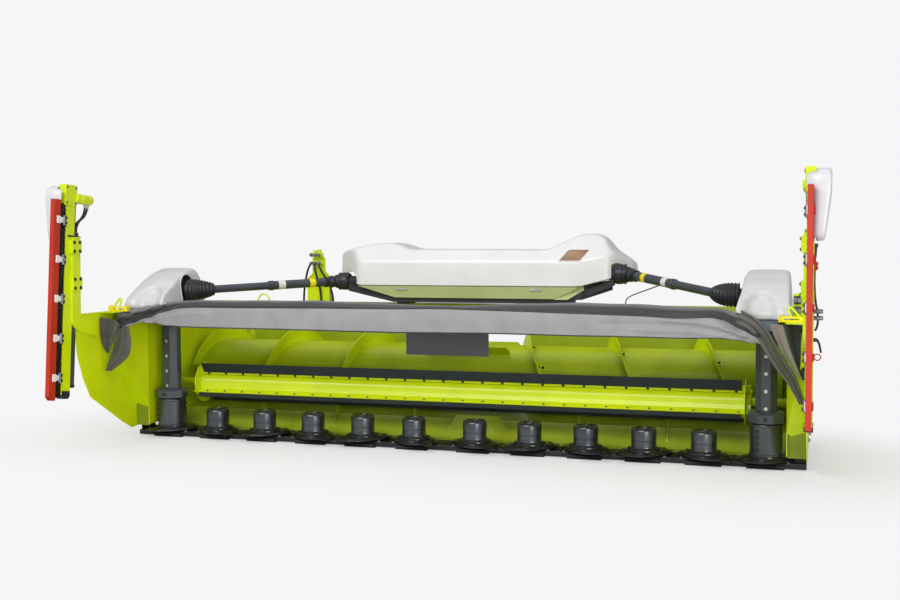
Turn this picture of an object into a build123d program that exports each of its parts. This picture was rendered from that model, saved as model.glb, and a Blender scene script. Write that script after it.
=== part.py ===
from build123d import *
import math
import os

# Disc mower header that hangs on the front of a harvesting machine. Millimetres, +Z up.
# The cutting side faces -Y. Lengths along Y are first given from the line of the disc shafts,
# and every piece is then moved so that the origin lies under the middle of the whole header.

# Mower bar and its discs
DISC_COUNT = 12
DISC_PITCH = 415.0
CENTRE_PITCH = 477.0
BLADE_TIP_R = 250.0
BLADE_ROOT_R = 150.0
BLADE_WIDTH = 46.0
BLADE_THICK = 4.0
DISC_LONG_R = 215.0
DISC_SHORT_R = 145.0
DISC_THICK = 12.0
DISC_STEP_H = 12.0
DISC_STEP_R = 122.0
HUB_R = 82.0
HUB_TOP_Z = 236.0
HUB_RIM = 10.0
DRUM_R = 110.0
DRUM_TOP_Z = 310.0
DRUM_LUG = 12.0
DRUM_LUG_WIDTH = 40.0
DRUM_LUG_H = 34.0
FIRST_DISC_TURN = 45.0
SPINDLE_R = 26.0
SPINDLE_GAP = 0.3
SKID_THICK = 8.0
SKID_WIDTH = 250.0
SKID_FRONT = 100.0
BAR_H = 38.0
BAR_FRONT = 62.0
BAR_REAR = 165.0
BOSS_R = 56.0
BOSS_RISE = 4.0
BLADE_CLEAR = 8.0
END_RISER_H = 110.0

# Towers over the two end discs, with the deck that carries the end covers
COLUMN_WIDTH = 143.0
COLLAR_WIDTH = 240.0
COLLAR_H = 74.0
COLLAR_BEVEL = 16.0
COLLAR_CLEAR = 6.0
HEAD_WIDTH = 165.0
HEAD_H = 96.0
DECK_TOP_Z = 1036.0
DECK_THICK = 6.0
GEARBOX_R = 84.0
GEARBOX_H = 215.0
INPUT_R = 46.0
NOTCH_R = 88.0

# Side boxes
DRUM_SIDE_GAP = 14.5
BLADE_SIDE_GAP = 16.5
SIDE_THICK = 8.0
PANEL_THICK = 6.0
PANEL_FRONT_Y = -120.0
PANEL_LOW_Z = 104.0
SIDE_TOP_Z = 1030.0
NOSE_TOP_Y = -835.0

# Rotors
PADDLE_Y = 270.0
PADDLE_Z = 410.0
PADDLE_R = 190.0
PADDLE_PLATE_R = 142.0
PADDLE_TUBE_R = 72.0
PADDLE_TURN = 28.0
PADDLE_WINGS = 4
PADDLE_HALF = 2200.0
END_DISC_HALF = 2160.0
END_DISC_R = 164.0
STRIP_HALF = 2140.0
STRIP_THICK = 10.0
STRIP_ROOT_R = 104.0
WING_THICK = 6.0
WING_FOOT = 46.0
AUGER_Z = 520.0
AUGER_R = 310.0
AUGER_TUBE_R = 205.0
AUGER_SIDE_GAP = 50.0
AUGER_PITCH = 685.0
FLIGHT_START_LEFT = -237.0
FLIGHT_START_RIGHT = -44.0
FLIGHT_THICK = 7.0
FLIGHT_GAP = 0.3
FLIGHT_STEP = 15.0
FLIGHT_INNER_X = 350.0
FEED_PADDLES = 4
FEED_PADDLE_R = 292.0
ROTOR_GAP = 12.0
SHAFT_R = 30.0
SHAFT_GAP = 0.3

# Trough, rear frame and hitch
SHEET = 5.0
TROUGH_CLEAR = 25.0
HEEL_Y = 268.0
LIP_Y = 430.0
LIP_Z = 172.0
TROUGH_FRONT_ANGLE = 254.0
LIP_RIBS = 6
LIP_RIB_X = -1700.0
LIP_RIB_PITCH = 660.0
LIP_RIB_THICK = 8.0
RAMP_X = 160.0
RAMP_Y = 335.0
RAMP_TOP_Z = 216.0
OPENING_HALF = 360.0
OPENING_LOW_Z = 232.0
OPENING_TOP_Z = 862.0
BEAM_DEPTH = 120.0
LOWER_BEAM_Z = 100.0
LOWER_BEAM_H = 118.0
UPPER_BEAM_H = 128.0
POST_WIDTH = 84.0
FRONT_BEAM_DEPTH = 118.0
FRONT_BEAM_H = 100.0
HITCH_PLATE = 20.0
HITCH_DEPTH = 170.0
HITCH_HALF = 470.0
HITCH_BAR_R = 38.0
HITCH_BAR_Z = 930.0
LOCK_R = 16.0
LOCK_Z = 175.0
LOCK_BEFORE_END = 55.0
INPUT_STUB_R = 17.5
INPUT_STUB_LENGTH = 90.0
INPUT_STUB_Z = 560.0
INPUT_CASE_HALF = 110.0

# Centre drive and its cover
DRIVE_Y = 946.0
DRIVE_LOW_Z = 1110.0
DRIVE_TOP_Z = 1345.0
DRIVE_LEFT_X = -1050.0
DRIVE_RIGHT_X = 860.0
DRIVE_FOOT_LEFT_X = -640.0
DRIVE_FOOT_RIGHT_X = 560.0
DRIVE_DEPTH = 130.0
CRADLE_X = 700.0
LEFT_OUT_Z = 1220.0
RIGHT_OUT_Z = 1290.0
LEFT_OUT_X = -1150.0
RIGHT_OUT_X = 1112.0
HOOD_LEFT_X = -1290.0
HOOD_RIGHT_X = 1225.0
FRONT_LEFT_X = -1036.0
FRONT_RIGHT_X = 845.0
CORNER_Y = 1100.0
HOOD_FRONT_Y = 835.0
HOOD_REAR_Y = 1395.0
HOOD_SEAM_Z = 1190.0
HOOD_LOW_Z = 1090.0
HOOD_END_Z = 1292.0
HUMP_TOP_Z = 1612.0
BACK_LINE = (  # X and Z along the lid's back from its right end, over both humps, to its left end
    (1225.0, 1378.0), (1082.0, 1482.0), (1050.0, 1558.0), (985.0, 1604.0), (905.0, 1612.0), (822.0, 1604.0),
    (700.0, 1548.0), (572.0, 1484.0), (-610.0, 1492.0), (-700.0, 1532.0), (-800.0, 1546.0), (-960.0, 1532.0),
    (-1240.0, 1474.0),
)
TRAY_LEFT_X = -718.0
TRAY_RIGHT_X = 640.0
HOOD_WALL = 7.0
HOOD_SEAM_GAP = 5.0
HINGE_R = 9.0
HINGE_X = 780.0
HINGE_WIDTH = 80.0
WINDOW_X = 765.0
WINDOW_WIDTH = 176.0
WINDOW_LOW_Z = 1392.0
WINDOW_H = 92.0
WINDOW_SLANT = 70.0

# Drive shafts between the centre drive and the towers
OUTER_JOINT_X = 2060.0
OUTER_JOINT_Y = 0.0
OUTER_JOINT_Z = 1178.0
SHAFT_TUBE_R = 31.0
SHAFT_SLEEVE_R = 37.0
BELLOWS_R = 86.0
BELLOWS_LENGTH = 130.0
BELLOWS_RIBS = 3
LEFT_GUARD_R = 74.0
RIGHT_GUARD_R = 80.0
JOINT_GUARD_LENGTH = 160.0

# End covers over the tower gearboxes
COVER_INNER_X = 2130.0
COVER_OUTER_X = 2478.0
COVER_FRONT_Y = -392.0
COVER_REAR_Y = 228.0
COVER_TOP_Z = 1345.0
COVER_WALL = 5.0
COVER_ROUND = 30.0
MOUTH_R = 112.0

# Upright side knives
KNIFE_LEAN = 4.7
KNIFE_X = 2597.0
KNIFE_FOOT_Y = -1012.0
KNIFE_FOOT_Z = 425.0
KNIFE_LENGTH = 1430.0
KNIFE_BEAM_DEPTH = 96.0
KNIFE_BEAM_WIDTH = 46.0
KNIFE_BAR_DEPTH = 70.0
KNIFE_BAR_WIDTH = 22.0
GUARD_DEPTH = 74.0
GUARD_WIDTH = 34.0
GUARD_WALL = 4.0
DUCT_DEPTH = 62.0
DUCT_WIDTH = 30.0
KNIFE_HEAD_H = 150.0
MOTOR_R = 36.0
MOTOR_LENGTH = 185.0
KNIFE_COVER_WIDTH = 112.0
KNIFE_COVER_H = 430.0
KNIFE_COVER_DEPTH = 250.0
ARM_WIDTH = 104.0
CLAMP_H = 96.0
CLAMP_STEP = 14.0
ARM_BELOW_TOP = 255.0
ARM_THICK = 22.0
ARM_LOW_Z = 862.0

# Front apron over its guard frame
GUARD_BAR_R = 17.0
GUARD_BAR_Y = -285.0
GUARD_BAR_Z = 1020.0
GUARD_ARMS = 4
GUARD_ARM_THICK = 12.0
APRON_HEAD_GAP = 111.0
APRON_THICK = 5.0
APRON_LOW_Z = 900.0
APRON_FRONT_Y = -318.0
APRON_CREST_Y = -110.0
APRON_CREST_Z = 1104.0
LEFT_DROP_Y = -480.0
FLAP_HALF = 325.0
FLAP_LOW_Z = 700.0
FLAP_THICK = 6.0

# Parking stands
STAND_X = 1900.0
STAND_TUBE = 60.0
STAND_PIVOT_Z = 330.0
STAND_FOOT = 190.0
STAND_FOOT_THICK = 12.0
STAND_PIN_R = 12.0
PIN_PLAY = 0.1
STAND_EAR = 10.0
STAND_EAR_GAP = 1.0

# Slotted bars at the front corners
CORNER_INNER_X = 2410.0
CORNER_WIDTH = 150.0
CORNER_Y_FRONT = -470.0
CORNER_DEPTH = 40.0
CORNER_H = 36.0

# Hose bracket
HOSE_PLATE_X = -1530.0
HOSE_PLATE_WIDTH = 210.0
HOSE_PLATE_TOP_Z = 1430.0
HOSE_ENDS = (-35.0, 0.0, 35.0)
HOSE_SWING = (-100.0, 30.0, 110.0)
HOSE_R = 9.0
HOSE_END_LENGTH = 40.0
HOSE_PLATE_STEP = 22.0

# Places that follow from the sizes above
END_DISC_X = CENTRE_PITCH / 2 + (DISC_COUNT / 2 - 1) * DISC_PITCH
PANEL_X = END_DISC_X + DRUM_R + DRUM_LUG + DRUM_SIDE_GAP
SIDE_X = END_DISC_X + BLADE_TIP_R + BLADE_SIDE_GAP
AUGER_HALF = PANEL_X - AUGER_SIDE_GAP
APRON_HALF = END_DISC_X - HEAD_WIDTH / 2 - APRON_HEAD_GAP
ARM_TOP_Z = KNIFE_FOOT_Z + KNIFE_LENGTH - ARM_BELOW_TOP
BAR_LOW_Z = SKID_THICK
BAR_TOP_Z = BAR_LOW_Z + BAR_H
DISC_LOW_Z = BAR_TOP_Z + BLADE_CLEAR + BLADE_THICK
COLLAR_LOW_Z = DRUM_TOP_Z + COLLAR_CLEAR
HEAD_LOW_Z = DECK_TOP_Z - DECK_THICK - HEAD_H
DECK_LOW_Z = DECK_TOP_Z - DECK_THICK
FRONT_BEAM_Y = HEAD_WIDTH / 2
STRIP_LOW_Z = DECK_LOW_Z - PANEL_THICK
AUGER_Y = PADDLE_Y + math.sqrt((PADDLE_R + AUGER_R + ROTOR_GAP) ** 2 - (AUGER_Z - PADDLE_Z) ** 2)
TROUGH_R = AUGER_R + TROUGH_CLEAR
WALL_Y = AUGER_Y + TROUGH_R
REAR_FRAME_Y = WALL_Y + SHEET
REAR_FRAME_END_Y = REAR_FRAME_Y + BEAM_DEPTH
UPPER_BEAM_Z = SIDE_TOP_Z - UPPER_BEAM_H
HITCH_END_Y = REAR_FRAME_END_Y + HITCH_DEPTH
LEAN = math.radians(KNIFE_LEAN)
FRONT_TIP_Y = KNIFE_FOOT_Y - KNIFE_BEAM_DEPTH / 2 - KNIFE_BAR_DEPTH - GUARD_DEPTH
ORIGIN_Y = (FRONT_TIP_Y + HITCH_END_Y) / 2


def block(x0, x1, y0, y1, z0, z1):
    """A box between two corners."""
    middle = Pos((x0 + x1) / 2, (y0 + y1) / 2, (z0 + z1) / 2)
    return middle * Box(abs(x1 - x0), abs(y1 - y0), abs(z1 - z0))


def side_prism(points, x0, x1):
    """A side outline, given as (Y, Z) points, drawn out along X from x0 to x1."""
    outline = make_face(Polyline(*points, close=True))
    return extrude(Plane.YZ.offset(x0) * outline, amount=x1 - x0)


def rod(start, end, radius):
    """A round bar from one point to another."""
    start, end = Vector(start), Vector(end)
    run = end - start
    seat = Plane(origin=start, z_dir=run)
    return seat.location * Cylinder(radius, run.length, align=(Align.CENTER, Align.CENTER, Align.MIN))


def rod_x(x0, x1, y, z, radius):
    """A round bar along X."""
    return rod((x0, y, z), (x1, y, z), radius)


def upright(x, y, z0, z1, radius):
    """A round bar along Z."""
    return rod((x, y, z0), (x, y, z1), radius)


def octagon(x, y, z0, z1, across):
    """An upright eight-sided column, with its flats across X and Y."""
    outline = RegularPolygon(across / 2, 8, major_radius=False, rotation=22.5)
    return Pos(x, y, z0) * extrude(outline, amount=z1 - z0)


def both_sides(shape):
    """A right-hand shape and its mirror image on the left."""
    return shape, mirror(shape, about=Plane.YZ)


def pair(shape):
    """A right-hand shape together with its mirror image, as the solids of one piece."""
    return Compound(children=[*mirror(shape, about=Plane.YZ).solids(), *shape.solids()])


def disc_x(number):
    """X of a disc's shaft, counted from 1 at the left end."""
    place = number - 1 - (DISC_COUNT - 1) / 2
    side = 1 if place > 0 else -1
    return side * (CENTRE_PITCH / 2 + (abs(place) - 0.5) * DISC_PITCH)


def disc_turn(number):
    """Neighbouring discs stand a quarter turn apart, so that their blades pass each other."""
    turn = FIRST_DISC_TURN + 90 * ((number - 1) % 2)
    return turn if disc_x(number) < 0 else -turn


def turned(profile):
    """A solid of revolution about Z from (radius, Z) points."""
    return revolve(Plane.XZ * make_face(Polyline(*profile, close=True)), Axis.Z)


def cutting_disc(number):
    """An oval disc with two blades, a raised round step and its hub, or a drum at the two ends."""
    plate = Pos(0, 0, DISC_LOW_Z) * extrude(SlotOverall(2 * DISC_LONG_R, 2 * DISC_SHORT_R), amount=DISC_THICK)
    dome_z = DISC_LOW_Z + DISC_THICK
    at_end = number in (1, DISC_COUNT)
    core_r = DRUM_R if at_end else HUB_R
    core_top = DRUM_TOP_Z if at_end else HUB_TOP_Z
    spindle_low = BAR_TOP_Z + BOSS_RISE + SPINDLE_GAP
    core = turned([(0, spindle_low), (SPINDLE_R, spindle_low), (SPINDLE_R, DISC_LOW_Z), (DISC_STEP_R, DISC_LOW_Z),
                   (DISC_STEP_R, dome_z + DISC_STEP_H), (core_r, dome_z + DISC_STEP_H), (core_r, core_top - HUB_RIM),
                   (core_r - HUB_RIM, core_top), (0, core_top)])
    disc = plate + core
    for side in (-1, 1):
        disc += block(side * BLADE_ROOT_R, side * (BLADE_TIP_R - 2), -BLADE_WIDTH / 2, BLADE_WIDTH / 2,
                      DISC_LOW_Z - BLADE_THICK, DISC_LOW_Z)
        if at_end:
            reach = side * (DRUM_R + DRUM_LUG - 2)
            step = (DRUM_TOP_Z - dome_z - DISC_STEP_H) / 4
            for row in range(3):
                low = dome_z + DISC_STEP_H + (row + 0.6) * step
                disc += block(0, reach, -DRUM_LUG_WIDTH / 2, DRUM_LUG_WIDTH / 2, low, low + DRUM_LUG_H)
    return Pos(disc_x(number), 0, 0) * (Rot(0, 0, disc_turn(number)) * disc)


def mower_bar():
    """The flat gear case under the discs, a boss for each spindle, and a skid under each disc."""
    bar = block(-SIDE_X, SIDE_X, -BAR_FRONT, BAR_REAR, BAR_LOW_Z, BAR_TOP_Z)
    for x in (-SIDE_X, SIDE_X - SIDE_THICK):
        bar += block(x, x + SIDE_THICK, -BAR_FRONT + 30, BAR_REAR, BAR_LOW_Z, BAR_TOP_Z + END_RISER_H)
    for number in range(1, DISC_COUNT + 1):
        x = disc_x(number)
        bar += octagon(x, 0, BAR_LOW_Z, BAR_TOP_Z + BOSS_RISE, 2 * BOSS_R)
        toe = [(-SKID_FRONT, 30), (-SKID_FRONT + 6, 36), (-BAR_FRONT, SKID_THICK), (BAR_REAR, SKID_THICK),
               (BAR_REAR, 0), (-BAR_FRONT - 8, 0)]
        bar += side_prism(toe, x - SKID_WIDTH / 2, x + SKID_WIDTH / 2)
    return bar


def tower():
    """The right-hand column with its collar, head and deck plate."""
    x = END_DISC_X
    collar_top = COLLAR_LOW_Z + COLLAR_H
    collar = octagon(x, 0, COLLAR_LOW_Z, collar_top, COLLAR_WIDTH)
    collar = chamfer(collar.edges().group_by(Axis.Z)[-1], COLLAR_BEVEL)
    column = octagon(x, 0, collar_top, HEAD_LOW_Z, COLUMN_WIDTH)
    half = HEAD_WIDTH / 2
    head = block(x - half, x + half, -half, half, HEAD_LOW_Z, DECK_LOW_Z)
    head = chamfer(head.edges().group_by(Axis.Z)[0], 10)
    deck = block(COVER_INNER_X - 4, COVER_OUTER_X + 4, COVER_FRONT_Y, COVER_REAR_Y, DECK_LOW_Z, DECK_TOP_Z)
    return collar + column + head + deck


def tower_gearbox():
    """The right-hand bevel gearbox on the deck, with its input neck pointing inwards."""
    x = END_DISC_X
    case = upright(x, 0, DECK_TOP_Z, DECK_TOP_Z + GEARBOX_H, GEARBOX_R)
    case = chamfer(case.edges().group_by(Axis.Z)[-1], 26)
    neck_end = OUTER_JOINT_X + 40
    neck = rod_x(neck_end, x, OUTER_JOINT_Y, OUTER_JOINT_Z, INPUT_R)
    return case + neck


def cover_outline(inset):
    """Side outline of an end cover: a low rounded nose that climbs to the crest over the gearbox."""
    low = DECK_TOP_Z if inset == 0 else DECK_TOP_Z - 1
    front, rear, top = COVER_FRONT_Y + inset, COVER_REAR_Y - inset, COVER_TOP_Z - inset
    return [(front, low), (front - 6, low + 40), (front + 24, low + 92), (front + 108, top - 158),
            (front + 240, top - 82), (front + 380, top - 26), (front + 500, top), (rear - 58, top - 6),
            (rear - 18, top - 48), (rear, top - 130), (rear, low)]


def end_cover():
    """The right-hand plastic cover: an open-bottomed shell with a mouth for the drive shaft."""
    shell = side_prism(cover_outline(0), COVER_INNER_X, COVER_OUTER_X)
    outer = shell.faces().sort_by(Axis.X)[-1].edges().sort_by(Axis.Z)[1:]
    shell = chamfer(outer, COVER_ROUND)
    inner = shell.faces().sort_by(Axis.X)[0].edges().sort_by(Axis.Z)[1:]
    shell = chamfer(inner, COVER_ROUND / 3)
    hollow = side_prism(cover_outline(COVER_WALL), COVER_INNER_X + COVER_WALL, COVER_OUTER_X - COVER_WALL - COVER_ROUND)
    mouth = block(COVER_INNER_X - 5, COVER_INNER_X + 40, OUTER_JOINT_Y - MOUTH_R, OUTER_JOINT_Y + MOUTH_R,
                  DECK_TOP_Z - 5, OUTER_JOINT_Z + 20)
    mouth += rod_x(COVER_INNER_X - 5, COVER_INNER_X + 40, OUTER_JOINT_Y, OUTER_JOINT_Z + 20, MOUTH_R)
    return shell - hollow - mouth


def nose_outline():
    """Side outline of an outer side plate, from the top front round the nose to the back."""
    return [(NOSE_TOP_Y, SIDE_TOP_Z), (-862, 860), (-850, 720), (-778, 528), (-700, 391), (-290, 142),
            (-165, 78), (130, 104), (420, 112), (REAR_FRAME_END_Y, 140), (REAR_FRAME_END_Y, SIDE_TOP_Z)]


def side_plate():
    """The right-hand outer plate: one flat sheet with the long nose."""
    plate = side_prism(nose_outline(), SIDE_X, SIDE_X + SIDE_THICK)
    return plate


def slab(corners, thickness, towards):
    """A flat triangular sheet between three corners, thickened to one side."""
    face = Face(Wire.make_polygon([Vector(*corner) for corner in corners], close=True))
    way = face.normal_at()
    if way.dot(Vector(*towards)) < 0:
        way = way * -1
    return extrude(face, amount=thickness, dir=way)


def side_panel():
    """The right-hand inner panel, the folded deflector ahead of it and the strip that closes the top."""
    inner = [(PANEL_FRONT_Y, PANEL_LOW_Z), (PANEL_FRONT_Y, DECK_LOW_Z), (WALL_Y + SHEET, DECK_LOW_Z),
             (WALL_Y + SHEET, 150), (420, PANEL_LOW_Z)]
    panel = side_prism(inner, PANEL_X, PANEL_X + PANEL_THICK)
    bend_top = (SIDE_X, -549, 932)
    bend_low = (SIDE_X, -30, 165)
    fold_top = (PANEL_X, PANEL_FRONT_Y, DECK_LOW_Z)
    fold_low = (PANEL_X, PANEL_FRONT_Y, 262)
    outwards = (1, 0.3, 0)
    upper = slab([bend_top, fold_top, fold_low], PANEL_THICK, outwards)
    lower = slab([bend_top, fold_low, bend_low], PANEL_THICK, outwards)
    deflector = upper + lower
    deflector -= block(SIDE_X, SIDE_X + 200, -900, 400, 0, 1200)
    strip = block(PANEL_X, SIDE_X, -560, COVER_FRONT_Y, DECK_LOW_Z - PANEL_THICK, DECK_LOW_Z)
    strip += block(PANEL_X, SIDE_X, COVER_FRONT_Y, REAR_FRAME_Y, DECK_LOW_Z - PANEL_THICK, DECK_LOW_Z)
    return panel + deflector + strip


def paddle_roller():
    """The tube with its four folded wings, two end discs and the stub shafts."""
    roller = rod_x(-PADDLE_HALF, PADDLE_HALF, 0, 0, PADDLE_TUBE_R)
    roller += rod_x(-PANEL_X + SHAFT_GAP, PANEL_X - SHAFT_GAP, 0, 0, SHAFT_R)
    for side in (-1, 1):
        inner = side * END_DISC_HALF
        roller += rod_x(inner, inner + side * WING_THICK, 0, 0, END_DISC_R)
    foot_y = math.sqrt(PADDLE_TUBE_R ** 2 - WING_FOOT ** 2)
    for number in range(PADDLE_WINGS):
        wing = side_prism([(foot_y - 12, -WING_FOOT), (PADDLE_TUBE_R + 20, 0), (PADDLE_PLATE_R, 0),
                           (PADDLE_PLATE_R, WING_THICK), (PADDLE_TUBE_R + 16, WING_THICK),
                           (foot_y - 24, -WING_FOOT + 6)], -PADDLE_HALF, PADDLE_HALF)
        wing += block(-PADDLE_HALF, PADDLE_HALF, PADDLE_TUBE_R - 10, PADDLE_TUBE_R + 24, 0, WING_THICK)
        roller += Rot(PADDLE_TURN + 360 / PADDLE_WINGS * number, 0, 0) * wing
    return Pos(0, PADDLE_Y, PADDLE_Z) * roller


def paddle_strips():
    """The rubber strips, one bolted to the back of each wing."""
    strips = []
    for number in range(PADDLE_WINGS):
        strip = block(-STRIP_HALF, STRIP_HALF, STRIP_ROOT_R, PADDLE_R - 1, WING_THICK, WING_THICK + STRIP_THICK)
        strips.append(Rot(PADDLE_TURN + 360 / PADDLE_WINGS * number, 0, 0) * strip)
    return Pos(0, PADDLE_Y, PADDLE_Z) * Compound(children=strips)


def helix_corners(side, number, steps):
    """The four corners of a flight's radial section, one of the steps along the helix."""
    whole_turn = 360 * (AUGER_HALF - FLIGHT_INNER_X - FLIGHT_THICK) / AUGER_PITCH
    root_r = (AUGER_TUBE_R + FLIGHT_GAP) / math.cos(math.radians(whole_turn / steps / 2))
    start = FLIGHT_START_RIGHT if side > 0 else FLIGHT_START_LEFT
    turn = math.radians(whole_turn * number / steps - start)
    x = side * (FLIGHT_INNER_X + AUGER_PITCH * whole_turn * number / steps / 360)
    corners = []
    for step, radius in ((0, root_r), (FLIGHT_THICK, root_r), (FLIGHT_THICK, AUGER_R), (0, AUGER_R)):
        corners.append(Vector(x + side * step, -radius * math.sin(turn), radius * math.cos(turn)))
    return corners


def flight(side):
    """One half's screw flight: radial sections a step apart along the helix, joined by flat facets."""
    steps = round(360 * (AUGER_HALF - FLIGHT_INNER_X) / AUGER_PITCH / FLIGHT_STEP)
    rings = [helix_corners(side, number, steps) for number in range(steps + 1)]
    skin = [Face(Wire.make_polygon(rings[0], close=True)), Face(Wire.make_polygon(rings[-1], close=True))]
    for ring, following in zip(rings, rings[1:]):
        for edge in range(4):
            a, b = ring[edge], ring[(edge + 1) % 4]
            c, d = following[(edge + 1) % 4], following[edge]
            skin.append(Face(Wire.make_polygon([a, b, c], close=True)))
            skin.append(Face(Wire.make_polygon([a, c, d], close=True)))
    return Solid(Shell(skin))


def auger_flights():
    """Both screw flights, of opposite hand, and the flat paddles that feed the opening between them."""
    reach = FLIGHT_INNER_X - FLIGHT_THICK
    pieces = [flight(-1), flight(1)]
    for number in range(FEED_PADDLES):
        paddle = block(-reach, reach, AUGER_TUBE_R + FLIGHT_GAP, FEED_PADDLE_R, 0, FLIGHT_THICK)
        pieces.append(Rot(45 + 360 / FEED_PADDLES * number, 0, 0) * paddle)
    return Pos(0, AUGER_Y, AUGER_Z) * Compound(children=pieces)


def auger():
    """The auger's tube with its two stub shafts."""
    tube = rod_x(-AUGER_HALF, AUGER_HALF, 0, 0, AUGER_TUBE_R)
    tube += rod_x(-PANEL_X + SHAFT_GAP, PANEL_X - SHAFT_GAP, 0, 0, SHAFT_R)
    return Pos(0, AUGER_Y, AUGER_Z) * tube


def lip_z(y):
    """Height of the sheet's slope between its heel and its lip."""
    return BAR_TOP_Z + (y - HEEL_Y) / (LIP_Y - HEEL_Y) * (LIP_Z - BAR_TOP_Z) - 2


def trough():
    """The sheet from the mower bar up over the lip, round under the auger and up the back wall."""
    start = math.radians(TROUGH_FRONT_ANGLE)
    middle = math.radians((TROUGH_FRONT_ANGLE + 360) / 2)

    def outline(radius):
        arc = [(AUGER_Y + radius * math.cos(a), AUGER_Z + radius * math.sin(a)) for a in (start, middle)]
        return arc + [(AUGER_Y + radius, AUGER_Z)]

    near, far = outline(TROUGH_R), outline(TROUGH_R + SHEET)
    under = BAR_TOP_Z - SHEET - 1
    front = [(LIP_Y, LIP_Z), (HEEL_Y, BAR_TOP_Z), (BAR_REAR, BAR_TOP_Z), (BAR_REAR, BAR_LOW_Z + 4),
             (BAR_REAR + SHEET, BAR_LOW_Z + 4), (BAR_REAR + SHEET, under), (HEEL_Y + 3, under),
             (LIP_Y + 3, LIP_Z - SHEET - 1)]
    with BuildSketch(Plane.YZ.offset(-PANEL_X)) as section:
        with BuildLine():
            Line((WALL_Y, DECK_LOW_Z), near[2])
            ThreePointArc(near[2], near[1], near[0])
            Polyline(near[0], *front, far[0])
            ThreePointArc(far[0], far[1], far[2])
            Polyline(far[2], (WALL_Y + SHEET, DECK_LOW_Z), (WALL_Y, DECK_LOW_Z))
        make_face()
    sheet = extrude(section.sketch, amount=2 * PANEL_X)
    opening = block(-OPENING_HALF, OPENING_HALF, AUGER_Y, WALL_Y + 50, OPENING_LOW_Z, OPENING_TOP_Z)
    sheet -= opening
    rib = [(LIP_Y - 110, lip_z(LIP_Y - 110)), (LIP_Y - 36, LIP_Z + 66), (LIP_Y - 8, LIP_Z + 66), (LIP_Y, LIP_Z)]
    for number in range(LIP_RIBS):
        x = LIP_RIB_X + number * LIP_RIB_PITCH
        sheet += side_prism(rib, x, x + LIP_RIB_THICK)
    ramp = [(RAMP_X - 250, lip_z(RAMP_Y)), (RAMP_X + 250, lip_z(RAMP_Y)), (RAMP_X + 170, RAMP_TOP_Z), (RAMP_X - 170, RAMP_TOP_Z)]
    return sheet + front_prism(ramp, RAMP_Y, RAMP_Y + 6)


def rear_frame():
    """The two rear beams and the four upright posts between them."""
    frame = block(-SIDE_X, SIDE_X, REAR_FRAME_Y, REAR_FRAME_END_Y, UPPER_BEAM_Z, SIDE_TOP_Z)
    frame += block(-SIDE_X, SIDE_X, REAR_FRAME_Y, REAR_FRAME_END_Y, LOWER_BEAM_Z, LOWER_BEAM_Z + LOWER_BEAM_H)
    for x in (-PANEL_X + POST_WIDTH / 2, -HITCH_HALF, HITCH_HALF, PANEL_X - POST_WIDTH / 2):
        frame += block(x - POST_WIDTH / 2, x + POST_WIDTH / 2, REAR_FRAME_Y, REAR_FRAME_END_Y,
                       LOWER_BEAM_Z, SIDE_TOP_Z)
    return frame


def hitch_frame():
    """Two side plates with lock holes, joined by the bar that the carrying hooks lift."""
    inner = HITCH_HALF - HITCH_PLATE / 2
    outline = [(REAR_FRAME_END_Y, 120), (HITCH_END_Y, 120), (HITCH_END_Y, 300), (HITCH_END_Y - 70, 420),
               (HITCH_END_Y - 70, 780), (HITCH_END_Y - 10, 860), (HITCH_END_Y - 10, 990), (REAR_FRAME_END_Y, 1010)]
    frame = rod_x(-inner - 5, inner + 5, HITCH_END_Y - 70, HITCH_BAR_Z, HITCH_BAR_R)
    for x in (-inner - HITCH_PLATE, inner):
        plate = side_prism(outline, x, x + HITCH_PLATE)
        plate -= rod_x(x - 5, x + HITCH_PLATE + 5, HITCH_END_Y - LOCK_BEFORE_END, LOCK_Z, LOCK_R)
        frame += plate
    return frame


def drive_input():
    """The case on the left of the feed opening that takes the machine's shaft, with its stub."""
    x = -HITCH_HALF - POST_WIDTH / 2 - INPUT_CASE_HALF - 4
    case = block(x - INPUT_CASE_HALF, x + INPUT_CASE_HALF, REAR_FRAME_Y, REAR_FRAME_END_Y - 10,
                 INPUT_STUB_Z - 140, UPPER_BEAM_Z)
    stub = rod((x, REAR_FRAME_END_Y - 10, INPUT_STUB_Z), (x, REAR_FRAME_END_Y - 10 + INPUT_STUB_LENGTH, INPUT_STUB_Z),
               INPUT_STUB_R)
    return case + stub


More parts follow.
